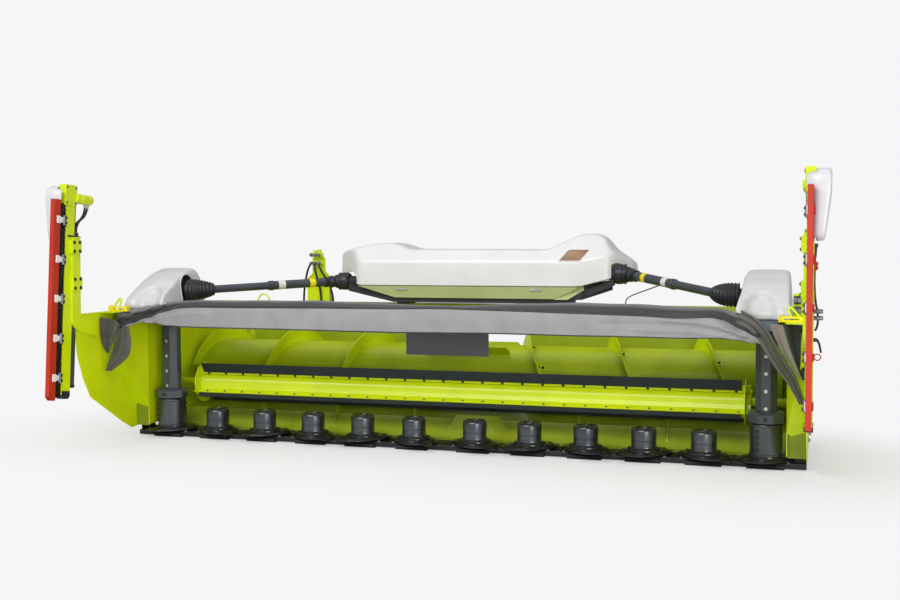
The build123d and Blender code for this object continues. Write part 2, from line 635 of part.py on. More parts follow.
def centre_drive():
    """The cross case under the lid with its output necks, on a cradle and two slanting arms."""
    half = DRIVE_DEPTH / 2
    front, rear = DRIVE_Y - half, DRIVE_Y + half
    case = block(DRIVE_LEFT_X, DRIVE_RIGHT_X, front, rear, HOOD_SEAM_Z + 6, DRIVE_TOP_Z)
    case = chamfer(case.edges().filter_by(Axis.X), 18)
    case += block(DRIVE_FOOT_LEFT_X, DRIVE_FOOT_RIGHT_X, front, rear, DRIVE_LOW_Z, HOOD_SEAM_Z + 40)
    case += block(-210, 210, front, DRIVE_Y + 280, HOOD_SEAM_Z + 6, DRIVE_TOP_Z + 30)
    case += rod_x(LEFT_OUT_X, DRIVE_LEFT_X, DRIVE_Y, LEFT_OUT_Z, INPUT_R)
    case += rod_x(DRIVE_RIGHT_X, RIGHT_OUT_X, DRIVE_Y, RIGHT_OUT_Z, INPUT_R)
    case += block(-CRADLE_X - 40, CRADLE_X, DRIVE_Y - 40, DRIVE_Y + 40, SIDE_TOP_Z + 20, HOOD_LOW_Z)
    case += block(DRIVE_FOOT_LEFT_X, DRIVE_FOOT_RIGHT_X, DRIVE_Y - 40, DRIVE_Y + 40, HOOD_LOW_Z - 6, DRIVE_LOW_Z)
    right_arm = [(660, 1050), (730, 1050), (1108, 1200), (1108, RIGHT_OUT_Z - 40), (1090, RIGHT_OUT_Z - 40), (1060, 1236), (664, 1076)]
    left_arm = [(-740, 1050), (-1146, 1140), (-1146, LEFT_OUT_Z - 20), (-1052, LEFT_OUT_Z - 40), (-742, 1084), (-690, 1050)]
    for arm in (left_arm, right_arm):
        case += front_prism(arm, DRIVE_Y - 40, DRIVE_Y + 40)
    for x in (-CRADLE_X, CRADLE_X):
        case += block(x - 40, x + 40, DRIVE_Y + 40, REAR_FRAME_END_Y, SIDE_TOP_Z, HOOD_LOW_Z)
    return case


def front_prism(points, y0, y1):
    """A front outline, given as (X, Z) points, drawn out along Y from y0 to y1."""
    outline = make_face(Polyline(*points, close=True))
    return extrude(Plane.XZ.offset(-y0) * outline, amount=-(y1 - y0))


def lid_solid(inset):
    """The outside of the centre lid, or with an inset its inside: a plan with cut corners, seen
    from the front a long back with two humps, and seen from the side a sloping front."""
    low = HOOD_SEAM_Z + (HOOD_SEAM_GAP / 2 if inset == 0 else -10)
    drop = 0 if inset == 0 else 14
    front, rear = HOOD_FRONT_Y + inset, HOOD_REAR_Y - inset
    plan = [(FRONT_LEFT_X + inset * 0.5, front), (FRONT_RIGHT_X - inset * 0.5, front), (HOOD_RIGHT_X - inset, CORNER_Y + inset),
            (HOOD_RIGHT_X - inset, rear), (HOOD_LEFT_X + inset, rear), (HOOD_LEFT_X + inset, CORNER_Y + inset)]
    back = [(FRONT_LEFT_X, low), (FRONT_RIGHT_X, low), (HOOD_RIGHT_X, HOOD_END_Z - drop)]
    back += [(x, z - inset) for x, z in BACK_LINE]
    back += [(HOOD_LEFT_X, HOOD_END_Z - drop)]
    side = [(front, low), (front + 17, 1400 - inset), (front + 70, 1480 - inset), (front + 190, HUMP_TOP_Z - inset),
            (rear - 220, HUMP_TOP_Z - inset), (rear - 100, 1500 - inset), (rear, 1350 - inset), (rear, low)]
    body = Pos(0, 0, low) * extrude(make_face(Polyline(*plan, close=True)), amount=HUMP_TOP_Z - low)
    return body & front_prism(back, front, rear) & side_prism(side, HOOD_LEFT_X, HOOD_RIGHT_X)


def knuckles(offsets):
    """Short hinge tubes on the line of the lid's hinge, with a leaf that reaches the wall."""
    row = []
    for centre in (-HINGE_X, HINGE_X):
        for start, end in offsets:
            tube = rod_x(centre + start, centre + end, HOOD_REAR_Y + HINGE_R, HOOD_SEAM_Z, HINGE_R)
            row.append(tube)
    return row


def window_prism(margin):
    """The slanting opening in the right hump's front, drawn out through the wall."""
    half = WINDOW_WIDTH / 2 + margin
    low, high = WINDOW_LOW_Z - margin, WINDOW_LOW_Z + WINDOW_H + margin
    corners = [(WINDOW_X - half, low), (WINDOW_X + half, low), (WINDOW_X + half + WINDOW_SLANT, high),
               (WINDOW_X - half + WINDOW_SLANT, high)]
    return front_prism(corners, HOOD_FRONT_Y - 5, HOOD_FRONT_Y + 150)


def centre_lid():
    """The white lid over the centre drive, notched at both ends for the output necks."""
    lid = lid_solid(0) - lid_solid(HOOD_WALL)
    for x0, x1, z in ((HOOD_LEFT_X, LEFT_OUT_X + 110, LEFT_OUT_Z), (RIGHT_OUT_X - 240, HOOD_RIGHT_X, RIGHT_OUT_Z)):
        lid -= block(x0, x1, DRIVE_Y - NOTCH_R, DRIVE_Y + NOTCH_R, HOOD_SEAM_Z - 10, z)
        lid -= rod_x(x0, x1, DRIVE_Y, z, NOTCH_R)
    lid -= window_prism(0)
    for tube in knuckles([(-HINGE_WIDTH / 2, HINGE_WIDTH / 2)]):
        box = tube.bounding_box()
        lid += tube
        lid += block(box.min.X, box.max.X, HOOD_REAR_Y - 3, HOOD_REAR_Y + HINGE_R, HOOD_SEAM_Z + 3, HOOD_SEAM_Z + HINGE_R)
    return lid


def lid_window():
    """The tinted pane in the right hump, as thick as the lid's wall."""
    return (lid_solid(0) - lid_solid(HOOD_WALL)) & window_prism(-0.3)


def lid_tray():
    """The olive band under the lid, drawn in at both ends, with its floor slotted round the cradle."""
    top = HOOD_SEAM_Z - HOOD_SEAM_GAP / 2
    low = HOOD_LOW_Z
    wall = HOOD_WALL

    def body(inset):
        rise = inset if inset else 0
        side = [(HOOD_FRONT_Y + inset, top + rise), (HOOD_FRONT_Y + 42 + inset, low + rise),
                (HOOD_REAR_Y - inset, low + rise), (HOOD_REAR_Y - inset, top + rise)]
        ends = [(FRONT_LEFT_X + 2 * inset, top + rise), (FRONT_RIGHT_X - 2 * inset, top + rise),
                (TRAY_RIGHT_X - inset, low + rise), (TRAY_LEFT_X + inset, low + rise)]
        return side_prism(side, FRONT_LEFT_X, FRONT_RIGHT_X) & front_prism(ends, HOOD_FRONT_Y, HOOD_REAR_Y)

    tray = body(0) - body(wall)
    tray -= block(DRIVE_FOOT_LEFT_X - 8, DRIVE_FOOT_RIGHT_X + 8, DRIVE_Y - 48, DRIVE_Y + 48, low - 5, low + wall + 5)
    for tube in knuckles([(-HINGE_WIDTH / 2 - 36, -HINGE_WIDTH / 2 - 1), (HINGE_WIDTH / 2 + 1, HINGE_WIDTH / 2 + 36)]):
        box = tube.bounding_box()
        tray += tube
        tray += block(box.min.X, box.max.X, HOOD_REAR_Y - 3, HOOD_REAR_Y + HINGE_R, HOOD_SEAM_Z - HINGE_R, HOOD_SEAM_Z - 3)
    return tray


def drive_shaft(side, inner_x, inner_z, guard_r):
    """A guarded shaft from the centre drive to a tower: two tubes, with a joint guard and a ribbed cone at each end."""
    inner = Vector(inner_x, DRIVE_Y, inner_z)
    outer = Vector(side * (OUTER_JOINT_X + 40), OUTER_JOINT_Y, OUTER_JOINT_Z)
    start = inner + Vector(side * JOINT_GUARD_LENGTH * 0.6, 0, 0)
    end = outer - Vector(side * JOINT_GUARD_LENGTH * 0.5, 0, 0)
    run = end - start
    way = run.normalized()
    half = start + run * 0.5
    shaft = rod(start, half, SHAFT_SLEEVE_R) + rod(half, end, SHAFT_TUBE_R)
    for point, towards, outwards, radius in ((start, way, inner, guard_r), (end, way * -1, outer, BELLOWS_R)):
        shaft += rod(outwards, point, radius)
        step = BELLOWS_LENGTH / BELLOWS_RIBS
        for rib in range(BELLOWS_RIBS):
            seat = Plane(origin=point + towards * (rib * step - 10), z_dir=towards)
            wide = radius - (rib + 0.6) * (radius - SHAFT_SLEEVE_R) / (BELLOWS_RIBS + 1)
            shaft += seat.location * Cylinder(wide, step, align=(Align.CENTER, Align.CENTER, Align.MIN))
    return shaft


def lean(shape, side=1):
    """Stands a side knife piece, built upright at the foot, at its place with its lean to the rear."""
    placed = Pos(KNIFE_X, KNIFE_FOOT_Y, KNIFE_FOOT_Z) * (Rot(-KNIFE_LEAN, 0, 0) * shape)
    return placed if side > 0 else mirror(placed, about=Plane.YZ)


def knife_beam():
    """The lime beam of a side knife with its head, its hydraulic motor and the arm that carries it."""
    half = KNIFE_BEAM_DEPTH / 2
    wide = KNIFE_BEAM_WIDTH / 2
    beam = block(-wide, wide, -half, half, 0, KNIFE_LENGTH)
    beam = fillet(beam.edges().filter_by(Axis.X).group_by(Axis.Z)[0], half * 0.8)
    beam += block(-wide - 8, wide + 6, -half - 22, half + 8, KNIFE_LENGTH - 20, KNIFE_LENGTH + KNIFE_HEAD_H - 20)
    motor = rod((-14, half, KNIFE_LENGTH + 40), (-14, half + MOTOR_LENGTH, KNIFE_LENGTH + 40), MOTOR_R)
    beam += motor
    return lean(beam)


def knife_arm():
    """The curved arm from the side plate up to the two clamps on the beam."""
    x0 = SIDE_X - ARM_THICK
    front = KNIFE_FOOT_Y + 80
    with BuildSketch(Plane.YZ.offset(x0)) as section:
        with BuildLine():
            outer = FilletPolyline((front + 26, ARM_TOP_Z), (front, ARM_LOW_Z + 60), (front + 300, ARM_LOW_Z - 12), radius=130)
            inner = FilletPolyline((front + 300, ARM_LOW_Z + ARM_WIDTH * 0.8), (front + ARM_WIDTH, ARM_LOW_Z + 150),
                                   (front + ARM_WIDTH + 10, ARM_TOP_Z), radius=50)
            Line(outer @ 1, inner @ 0)
            Line(inner @ 1, outer @ 0)
        make_face()
    arm = extrude(section.sketch, amount=ARM_THICK)
    for z in (1210, 1480):
        back = KNIFE_FOOT_Y + math.tan(LEAN) * (z - KNIFE_FOOT_Z)
        arm += block(x0 - CLAMP_STEP, SIDE_X, front + 6, front + ARM_WIDTH + 6, z, z + CLAMP_H)
        arm += block(x0 - CLAMP_STEP, x0 + 6, back + 20, front + ARM_WIDTH, z + 8, z + CLAMP_H - 8)
    return arm


def knife_bar():
    """The black knife bar along the front of the beam."""
    half = KNIFE_BEAM_DEPTH / 2
    wide = KNIFE_BAR_WIDTH / 2
    return lean(block(-wide, wide, -half - KNIFE_BAR_DEPTH, -half, 20, KNIFE_LENGTH - 24))


def knife_guard():
    """The red channel over the knife, with five brackets back to the beam."""
    rear = -KNIFE_BEAM_DEPTH / 2 - KNIFE_BAR_DEPTH + 10
    wide = GUARD_WIDTH / 2
    front = rear - GUARD_DEPTH
    guard = block(-wide, wide, front, rear, -12, KNIFE_LENGTH + 10)
    guard = chamfer(guard.edges().filter_by(Axis.X).group_by(Axis.Z)[0][0:1], 30)
    guard -= block(-wide + GUARD_WALL, wide - GUARD_WALL, front + GUARD_WALL, rear + 5, -20, KNIFE_LENGTH + 20)
    step = KNIFE_LENGTH / 5
    for row in range(5):
        z = step * (row + 0.45)
        plate_x = KNIFE_BEAM_WIDTH / 2
        guard += block(wide - GUARD_WALL, plate_x, rear - 34, rear - 12, z, z + 46)
        guard += block(plate_x, plate_x + 5, rear - 34, 10, z, z + 46)
    return lean(guard)


def knife_duct():
    """The dark duct behind the beam that takes the motor's two hoses down."""
    half = KNIFE_BEAM_DEPTH / 2
    return lean(block(-DUCT_WIDTH / 2, DUCT_WIDTH / 2, half, half + DUCT_DEPTH, 90, KNIFE_LENGTH - 210))


def knife_cover():
    """The white shell over the outside of a knife's drive: wide at the top and drawn in at the foot."""
    top = KNIFE_LENGTH + 122
    low = top - KNIFE_COVER_H
    x0 = KNIFE_BEAM_WIDTH / 2 + 8
    x1 = x0 + KNIFE_COVER_WIDTH - 20

    def outline(inset):
        return [(-118 + inset, low + 60 + inset), (-118 + inset, top - 46 - inset), (-60, top - inset),
                (KNIFE_COVER_DEPTH - 170, top - inset), (KNIFE_COVER_DEPTH - 118 - inset, top - 60),
                (20, low + inset), (-90, low + inset)]

    def body(inset, start):
        full = side_prism(outline(inset), start, x1 - inset)
        full = chamfer(full.faces().sort_by(Axis.X)[-1].edges(), 18)
        taper = [(start, low - 9), (x1 - 44 - inset, low - 9), (x1 - inset, top - 60), (x1 - inset, top), (start, top)]
        return full & front_prism(taper, -200, 200)

    shell = body(0, x0) - body(4, x0 - 5)
    for z in (KNIFE_LENGTH - 90, KNIFE_LENGTH + 30):
        at_head = z > KNIFE_LENGTH
        shell += block(KNIFE_BEAM_WIDTH / 2 + (6 if at_head else 0), x1 - (2 if at_head else 17), -20, 20, z, z + 30)
    return lean(shell)


def apron():
    """The cloth over the front: from the beam over the crest to the hanging front, and two end drops."""
    t = APRON_THICK
    top = [(FRONT_BEAM_Y + FRONT_BEAM_DEPTH, DECK_LOW_Z), (FRONT_BEAM_Y - 30, DECK_LOW_Z + 6),
           (APRON_CREST_Y, APRON_CREST_Z), (APRON_FRONT_Y + 26, APRON_CREST_Z - 34), (APRON_FRONT_Y, APRON_CREST_Z - 70),
           (APRON_FRONT_Y, APRON_LOW_Z)]
    under = [(APRON_FRONT_Y + t, APRON_LOW_Z), (APRON_FRONT_Y + t, APRON_CREST_Z - 72),
             (APRON_FRONT_Y + 28, APRON_CREST_Z - 39), (APRON_CREST_Y, APRON_CREST_Z - t),
             (FRONT_BEAM_Y - 28, DECK_LOW_Z + 6 - t), (FRONT_BEAM_Y, DECK_LOW_Z)]
    cloth = side_prism([(y, z + (t if i == 0 else 0)) for i, (y, z) in enumerate(top)] + under
                       + [(FRONT_BEAM_Y + FRONT_BEAM_DEPTH, DECK_LOW_Z)], -APRON_HALF, APRON_HALF)
    left = [(180, 990), (130, STRIP_LOW_Z), (28, STRIP_LOW_Z), (28, 880), (60, 620), (118, 560), (168, 690), (144, 860)]
    right = [(454, DECK_TOP_Z), (240, DECK_TOP_Z), (128, 900), (60, 700), (56, 450), (92, 520), (180, 690), (310, 860),
             (454, 960)]
    left_drop = front_prism([(gap - SIDE_X, z) for gap, z in left], LEFT_DROP_Y, LEFT_DROP_Y + 2 * t)
    right_drop = front_prism([(SIDE_X - gap, z) for gap, z in right], COVER_FRONT_Y - t - 0.3, COVER_FRONT_Y - 0.3)
    return Compound(children=[cloth, left_drop, right_drop])


def guard_frame():
    """The bar that holds the cloth out, with sixteen sides, on arms from the front beam."""
    section = Pos(GUARD_BAR_Y, GUARD_BAR_Z) * RegularPolygon(GUARD_BAR_R, 16)
    frame = extrude(Plane.YZ.offset(10 - APRON_HALF) * section, amount=2 * (APRON_HALF - 10))
    for number in range(GUARD_ARMS):
        x = -APRON_HALF + 40 + number * (2 * APRON_HALF - 80) / (GUARD_ARMS - 1)
        outline = [(GUARD_BAR_Y - 8, GUARD_BAR_Z - 30), (GUARD_BAR_Y - 8, GUARD_BAR_Z + 10),
                   (APRON_CREST_Y - 10, APRON_CREST_Z - 30), (FRONT_BEAM_Y, DECK_LOW_Z - 18), (FRONT_BEAM_Y, DECK_LOW_Z - 80)]
        frame += side_prism(outline, x - GUARD_ARM_THICK / 2, x + GUARD_ARM_THICK / 2)
    return frame


def crop_flap():
    """The stiff flap that hangs from the middle of the front beam."""
    return block(-FLAP_HALF, FLAP_HALF, FRONT_BEAM_Y - FLAP_THICK, FRONT_BEAM_Y, FLAP_LOW_Z, DECK_LOW_Z - 20)


def stand_y():
    """The line of a stand's leg behind the lower beam."""
    return REAR_FRAME_END_Y + STAND_EAR + STAND_EAR_GAP + STAND_TUBE / 2


def stand():
    """The right-hand parking stand: a square leg, its foot and the pin that it swings on."""
    half = STAND_TUBE / 2
    y = stand_y()
    leg = block(STAND_X - half, STAND_X + half, y - half, y + half, STAND_FOOT_THICK, STAND_PIVOT_Z + half)
    leg -= rod((STAND_X, y - half - 1, STAND_PIVOT_Z), (STAND_X, y + half + 1, STAND_PIVOT_Z), STAND_PIN_R + PIN_PLAY)
    foot = block(STAND_X - STAND_FOOT / 2, STAND_X + STAND_FOOT / 2, REAR_FRAME_END_Y + STAND_EAR + 6,
                 REAR_FRAME_END_Y + STAND_EAR + 6 + STAND_FOOT * 0.66, 0, STAND_FOOT_THICK)
    return leg + foot


def stand_bracket():
    """The fork on the lower beam between whose ears the stand swings, with its pin."""
    y0 = REAR_FRAME_END_Y
    y1 = y0 + STAND_EAR
    y2 = y1 + STAND_TUBE + 2 * STAND_EAR_GAP
    x0, x1 = STAND_X - 45, STAND_X + 66
    fork = block(x0, x1, y0, y1, LOWER_BEAM_Z + 10, STAND_PIVOT_Z + 45)
    fork += block(x0, x1, y2, y2 + STAND_EAR, STAND_PIVOT_Z - 60, STAND_PIVOT_Z + 45)
    fork += block(STAND_X + 50, x1, y0, y2 + STAND_EAR, STAND_PIVOT_Z - 60, STAND_PIVOT_Z + 45)
    fork += rod((STAND_X, y0, STAND_PIVOT_Z), (STAND_X, y2 + STAND_EAR + 8, STAND_PIVOT_Z), STAND_PIN_R)
    return fork


def hose_bracket():
    """The upright plate at the left of the lid that carries the hose ends."""
    half = HOSE_PLATE_WIDTH / 2
    x0, x1 = HOSE_PLATE_X - half, HOSE_PLATE_X + half
    y = REAR_FRAME_Y + HOSE_PLATE_STEP
    top = HOSE_PLATE_TOP_Z
    outline = [(x0, SIDE_TOP_Z), (x1, SIDE_TOP_Z), (x1, top - 170), (x1 - 40, top - 130), (x1 - 40, top - 20),
               (x1 - 60, top), (x0 + 70, top), (x0 + 50, top - 20), (x0 + 50, top - 150), (x0, top - 190)]
    plate = front_prism(outline, y, y + 10)
    plate += block(x0, x1, y, y + 90, SIDE_TOP_Z, SIDE_TOP_Z + 10)
    for x in (x0, x1 - 8):
        plate += side_prism([(y, SIDE_TOP_Z), (y, SIDE_TOP_Z + 200), (y + 10, SIDE_TOP_Z + 200), (y + 90, SIDE_TOP_Z)], x, x + 8)
    for x in HOSE_ENDS:
        plate += rod((HOSE_PLATE_X + x, y, top - 60), (HOSE_PLATE_X + x, y - HOSE_END_LENGTH, top - 60), 15)
    return plate


def hose(points, bend):
    """A round hose along straight runs joined by bends."""
    line = FilletPolyline(*points, radius=bend)
    section = Plane(origin=points[0], z_dir=Vector(*points[1]) - Vector(*points[0])) * Circle(HOSE_R)
    return sweep(section, path=line)


def frame_hoses():
    """The hoses that bend from the bracket's ends down to the top of the rear frame."""
    start_y = REAR_FRAME_Y + HOSE_PLATE_STEP - HOSE_END_LENGTH
    end_y = REAR_FRAME_Y + HOSE_R + 1
    top = HOSE_PLATE_TOP_Z - 60
    loops = []
    for number, x in enumerate(HOSE_ENDS):
        x += HOSE_PLATE_X
        side = x + HOSE_SWING[number]
        loops.append(hose([(x, start_y, top), (x, start_y - 76, top), (side, end_y, SIDE_TOP_Z + 110),
                           (side, end_y, SIDE_TOP_Z)], 34))
    return Compound(children=loops)


def knife_hoses():
    """The two hoses from a side knife's motor down into the duct."""
    duct = KNIFE_BEAM_DEPTH / 2 + DUCT_DEPTH / 2
    low = KNIFE_LENGTH - 210
    pair = []
    for x, back in ((-22, 120), (-4, 170)):
        start = KNIFE_BEAM_DEPTH / 2 + back
        pair.append(hose([(x, start, KNIFE_LENGTH + 4), (x, start, KNIFE_LENGTH - 70), (x + 9, duct, low + 60), (x + 9, duct, low)], 34))
    return lean(Compound(children=pair))


def corner_plate():
    """The yellow slotted bar that lies across the deflector's top strip, ahead of the right end cover."""
    half = CORNER_WIDTH / 2
    middle = (CORNER_INNER_X + SIDE_X - 20) / 2
    plate = block(CORNER_INNER_X, SIDE_X - 20, CORNER_Y_FRONT, CORNER_Y_FRONT + CORNER_DEPTH, DECK_LOW_Z, DECK_LOW_Z + CORNER_H)
    return plate - block(middle - half + 30, middle + half - 30, CORNER_Y_FRONT - 1, CORNER_Y_FRONT + CORNER_DEPTH + 1,
                         DECK_LOW_Z + 13, DECK_LOW_Z + 24)


PARTS = {}
for n in range(1, DISC_COUNT + 1):
    PARTS[f"disc_{n:02d}"] = cutting_disc(n)
PARTS["mower_bar"] = mower_bar()
PARTS["towers"] = pair(tower())
PARTS["tower_gearboxes"] = pair(tower_gearbox())
PARTS["end_covers"] = pair(end_cover())
PARTS["side_plates"] = pair(side_plate())
PARTS["side_panels"] = pair(side_panel())
PARTS["paddle_roller"] = paddle_roller()
PARTS["paddle_strips"] = paddle_strips()
PARTS["auger"] = auger()
PARTS["auger_flights"] = auger_flights()
PARTS["trough"] = trough()
PARTS["front_beam"] = block(-PANEL_X, PANEL_X, FRONT_BEAM_Y, FRONT_BEAM_Y + FRONT_BEAM_DEPTH,
                            DECK_LOW_Z - FRONT_BEAM_H, DECK_LOW_Z)
PARTS["rear_frame"] = rear_frame()
PARTS["hitch_frame"] = hitch_frame()
PARTS["drive_input"] = drive_input()
PARTS["centre_drive"] = centre_drive()
PARTS["centre_lid"] = centre_lid()
PARTS["lid_tray"] = lid_tray()
PARTS["lid_window"] = lid_window()
PARTS["drive_shafts"] = Compound(children=[
    *drive_shaft(-1, LEFT_OUT_X, LEFT_OUT_Z, LEFT_GUARD_R).solids(),
    *drive_shaft(1, RIGHT_OUT_X, RIGHT_OUT_Z, RIGHT_GUARD_R).solids()])
PARTS["knife_beams"] = pair(knife_beam() + knife_arm())
PARTS["knife_bars"] = pair(knife_bar())
PARTS["knife_guards"] = pair(knife_guard())
PARTS["knife_ducts"] = pair(knife_duct())
PARTS["knife_covers"] = pair(knife_cover())
PARTS["front_apron"] = apron()
PARTS["guard_frame"] = guard_frame()
PARTS["crop_flap"] = crop_flap()
PARTS["stand_right"], PARTS["stand_left"] = both_sides(stand())
bracket_right, bracket_left = both_sides(stand_bracket())
PARTS["stand_brackets"] = Compound(children=[bracket_right, bracket_left])
PARTS["hose_bracket"] = hose_bracket()
PARTS["frame_hoses"] = frame_hoses()
PARTS["knife_hoses"] = pair(knife_hoses())
PARTS["corner_plates"] = pair(corner_plate())

if __name__ == "__main__":
    os.makedirs("parts", exist_ok=True)
    for name, shape in PARTS.items():
        export_step(Pos(0, -ORIGIN_Y, 0) * shape, f"parts/{name}.step")
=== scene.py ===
# %% [markdown]
# # A disc mower, dressed in Blender
# The CAD frame brings every piece that carries load or moves, in metres and in its real place.
# This lesson gives those pieces their paint and adds the pieces whose form is too soft or too fine
# for the frame: the cloth, the moulded covers, the cutting discs, the hoses and the small fasteners.

# %% Load the frame
import math

import bmesh
import bpy
import numpy as np
from mathutils import Matrix, Vector


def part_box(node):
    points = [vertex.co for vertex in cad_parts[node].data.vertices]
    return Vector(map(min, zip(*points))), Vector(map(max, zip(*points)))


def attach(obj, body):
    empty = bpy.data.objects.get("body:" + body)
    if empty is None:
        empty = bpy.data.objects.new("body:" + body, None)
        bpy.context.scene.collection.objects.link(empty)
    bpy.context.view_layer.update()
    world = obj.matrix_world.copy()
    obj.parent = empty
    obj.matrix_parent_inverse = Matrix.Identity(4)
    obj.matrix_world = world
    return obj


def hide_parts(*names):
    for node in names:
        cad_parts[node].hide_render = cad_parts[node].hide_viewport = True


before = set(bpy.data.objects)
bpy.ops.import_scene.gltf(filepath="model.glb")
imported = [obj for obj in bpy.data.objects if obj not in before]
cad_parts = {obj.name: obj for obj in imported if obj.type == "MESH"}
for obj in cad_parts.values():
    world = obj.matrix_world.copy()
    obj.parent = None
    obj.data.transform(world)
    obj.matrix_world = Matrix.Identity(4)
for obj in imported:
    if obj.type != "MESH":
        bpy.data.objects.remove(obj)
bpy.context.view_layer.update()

MOWER = "mower_frame"
SIDES = ((-1, "left"), (1, "right"))

# %% [markdown]
# The part's source measures Y from the line of the disc shafts. A disc's box is centred on its
# shaft, so the middle of one of them gives that line in the frame, and `at` turns measured places
# into frame places.

# %% Find the line of the discs
low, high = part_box("disc_06")
DISC_LINE = (low[1] + high[1]) / 2
DISC_X = [sum(corner[0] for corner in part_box(f"disc_{number:02d}")) / 2 for number in range(1, 13)]


def at(points):
    """Places measured from the disc line, an array ending in x, y, z, moved into the frame."""
    return np.asarray(points, float) + np.array([0.0, DISC_LINE, 0.0])


print("disc line", round(DISC_LINE, 4), "first disc", round(DISC_X[0], 4))

# %% [markdown]
# ## Camera
# The photograph was taken from a little above the covers, with a lens of about 45 mm on a 36 mm
# sensor. The camera stands 2.7 m to the right of the middle and looks 18 degrees back to the left.

# %% Place the camera
YAW, PITCH, ROLL = 0.315071, 0.051578, -0.005086
CAMERA_PLACE = (2.6569, -7.9942, 1.5552)
FOCAL_PIXELS, PHOTO_PIXELS, SENSOR_WIDTH = 1138.35, 900.0, 36.0
forward = np.array([-math.sin(YAW) * math.cos(PITCH), math.cos(YAW) * math.cos(PITCH), -math.sin(PITCH)])
level = np.array([math.cos(YAW), math.sin(YAW), 0.0])
upward = np.cross(level, forward)
right_way = math.cos(ROLL) * level + math.sin(ROLL) * upward
up_way = math.cos(ROLL) * upward - math.sin(ROLL) * level
camera = bpy.data.objects.new("camera", bpy.data.cameras.new("camera"))
bpy.context.scene.collection.objects.link(camera)
turn = Matrix((right_way, up_way, -forward)).transposed()
camera.matrix_world = Matrix.Translation(Vector(at(CAMERA_PLACE))) @ turn.to_4x4()
camera.data.sensor_width = SENSOR_WIDTH
camera.data.lens = SENSOR_WIDTH * FOCAL_PIXELS / PHOTO_PIXELS
camera.data.clip_end = 200.0
bpy.context.scene.camera = camera
print("lens", round(camera.data.lens, 2), "mm")

# %% [markdown]
# ## Finishes
# A real finish is never one flat colour. Paint has a faint orange peel and a little dust, rubber is
# dull with scuffs, and cloth shows its weave. Each finish is a small node tree: one noise shifts the
# colour and the gloss, and a fine one the surface, all on Object coordinates, so that a pattern stays
# on its piece.

# %% Colours and node trees
def linear(code):
    """A colour written as a web code, turned into the linear values that shaders use."""
    values = np.array([int(code[i:i + 2], 16) / 255 for i in (1, 3, 5)])
    values = np.where(values <= 0.04045, values / 12.92, ((values + 0.055) / 1.055) ** 2.4)
    return (*[float(v) for v in values], 1.0)


def feed(tree, node, given):
    """Sets a node's inputs: a socket is linked to its input, any other value becomes the input's own."""
    for name, value in given.items():
        if isinstance(value, bpy.types.NodeSocket):
            tree.links.new(value, node.inputs[name])
        else:
            node.inputs[name].default_value = value


def add_node(tree, kind, given=None, **settings):
    """A new shader node with its settings, and its inputs fed."""
    node = tree.nodes.new("ShaderNode" + kind)
    for name, value in settings.items():
        setattr(node, name, value)
    feed(tree, node, given or {})
    return node


def new_material(name):
    """A material with its node tree and its main shader."""
    material = bpy.data.materials.new(name)
    material.use_nodes = True
    return material, material.node_tree, material.node_tree.nodes["Principled BSDF"]


FINISH = {}


def finish(name, slot, colour, shade, gloss, patch=4.0, grain=900.0, bump=0.05, metal=0.0, coat=0.0, dust=0.0):
    """Paint, plastic or metal: colour to shade by a soft noise, gloss = (smoothest, roughest)."""
    material, tree, shader = new_material(name)
    place = add_node(tree, "TexCoord").outputs["Object"]
    soft = add_node(tree, "TexNoise", {"Scale": patch, "Detail": 6.0, "Vector": place}).outputs["Fac"]
    ramp = add_node(tree, "ValToRGB", {"Fac": soft})
    for stop, position, code in zip(ramp.color_ramp.elements, (0.34, 0.62), (shade, colour)):
        stop.position, stop.color = position, linear(code)
    base = ramp.outputs["Color"]
    if dust:
        apart = add_node(tree, "SeparateXYZ", {"Vector": place})
        height = add_node(tree, "MapRange", {"From Min": 0.45, "From Max": 0.0, "To Max": dust,
                                             "Value": apart.outputs["Z"]})
        spread = add_node(tree, "Math", {0: height.outputs["Result"], 1: soft}, operation="MULTIPLY")
        mix = add_node(tree, "Mix", data_type="RGBA")
        feed(tree, mix, {"Factor": spread.outputs["Value"], 6: base, 7: linear("#8d8877")})
        base = mix.outputs[2]
    rough = add_node(tree, "MapRange", {"From Min": 0.3, "From Max": 0.7, "Value": soft})
    feed(tree, rough, {"To Min": gloss[0], "To Max": gloss[1]})
    fine = add_node(tree, "TexNoise", {"Scale": grain, "Vector": place})
    relief = add_node(tree, "Bump", {"Strength": bump, "Distance": 0.001, "Height": fine.outputs["Fac"]})
    feed(tree, shader, {"Base Color": base, "Roughness": rough.outputs["Result"],
                        "Normal": relief.outputs["Normal"], "Metallic": metal, "Coat Weight": coat,
                        "Coat Roughness": 0.08})
    FINISH[name] = (material, slot)


print("node helpers ready")

# %% Paints, plastics and metals
finish("lime paint", "lime_paint", "#d6e900", "#cbdf00", (0.28, 0.4), grain=420.0, bump=0.04, coat=0.15)
# A darker copy of the lime paint paints the shade on the inner and rear parts; its dust gathers low down.
finish("lime paint inside", "lime_paint", "#b9cc00", "#aabd00", (0.34, 0.5), grain=420.0, bump=0.05, coat=0.2,
       dust=0.25)
finish("column paint", "grey_paint", "#3f444a", "#383d43", (0.26, 0.36), grain=500.0, bump=0.05, coat=0.2)
finish("flap rubber", "grey_paint", "#55575a", "#4b4d50", (0.55, 0.7), grain=700.0, bump=0.12)
finish("dark casting", "dark_casting", "#2c2e31", "#232528", (0.5, 0.66), grain=260.0, bump=0.25)
finish("disc paint", "disc_black", "#121416", "#1a1c1f", (0.25, 0.36), patch=8.0, grain=300.0, bump=0.02,
       coat=0.3)
finish("bar paint", "bar_steel", "#0f1113", "#17191b", (0.36, 0.55), patch=9.0, grain=240.0, bump=0.12)
finish("white moulding", "white_plastic", "#e4e4e4", "#dfdfdf", (0.3, 0.4), grain=800.0, bump=0.03, coat=0.15)
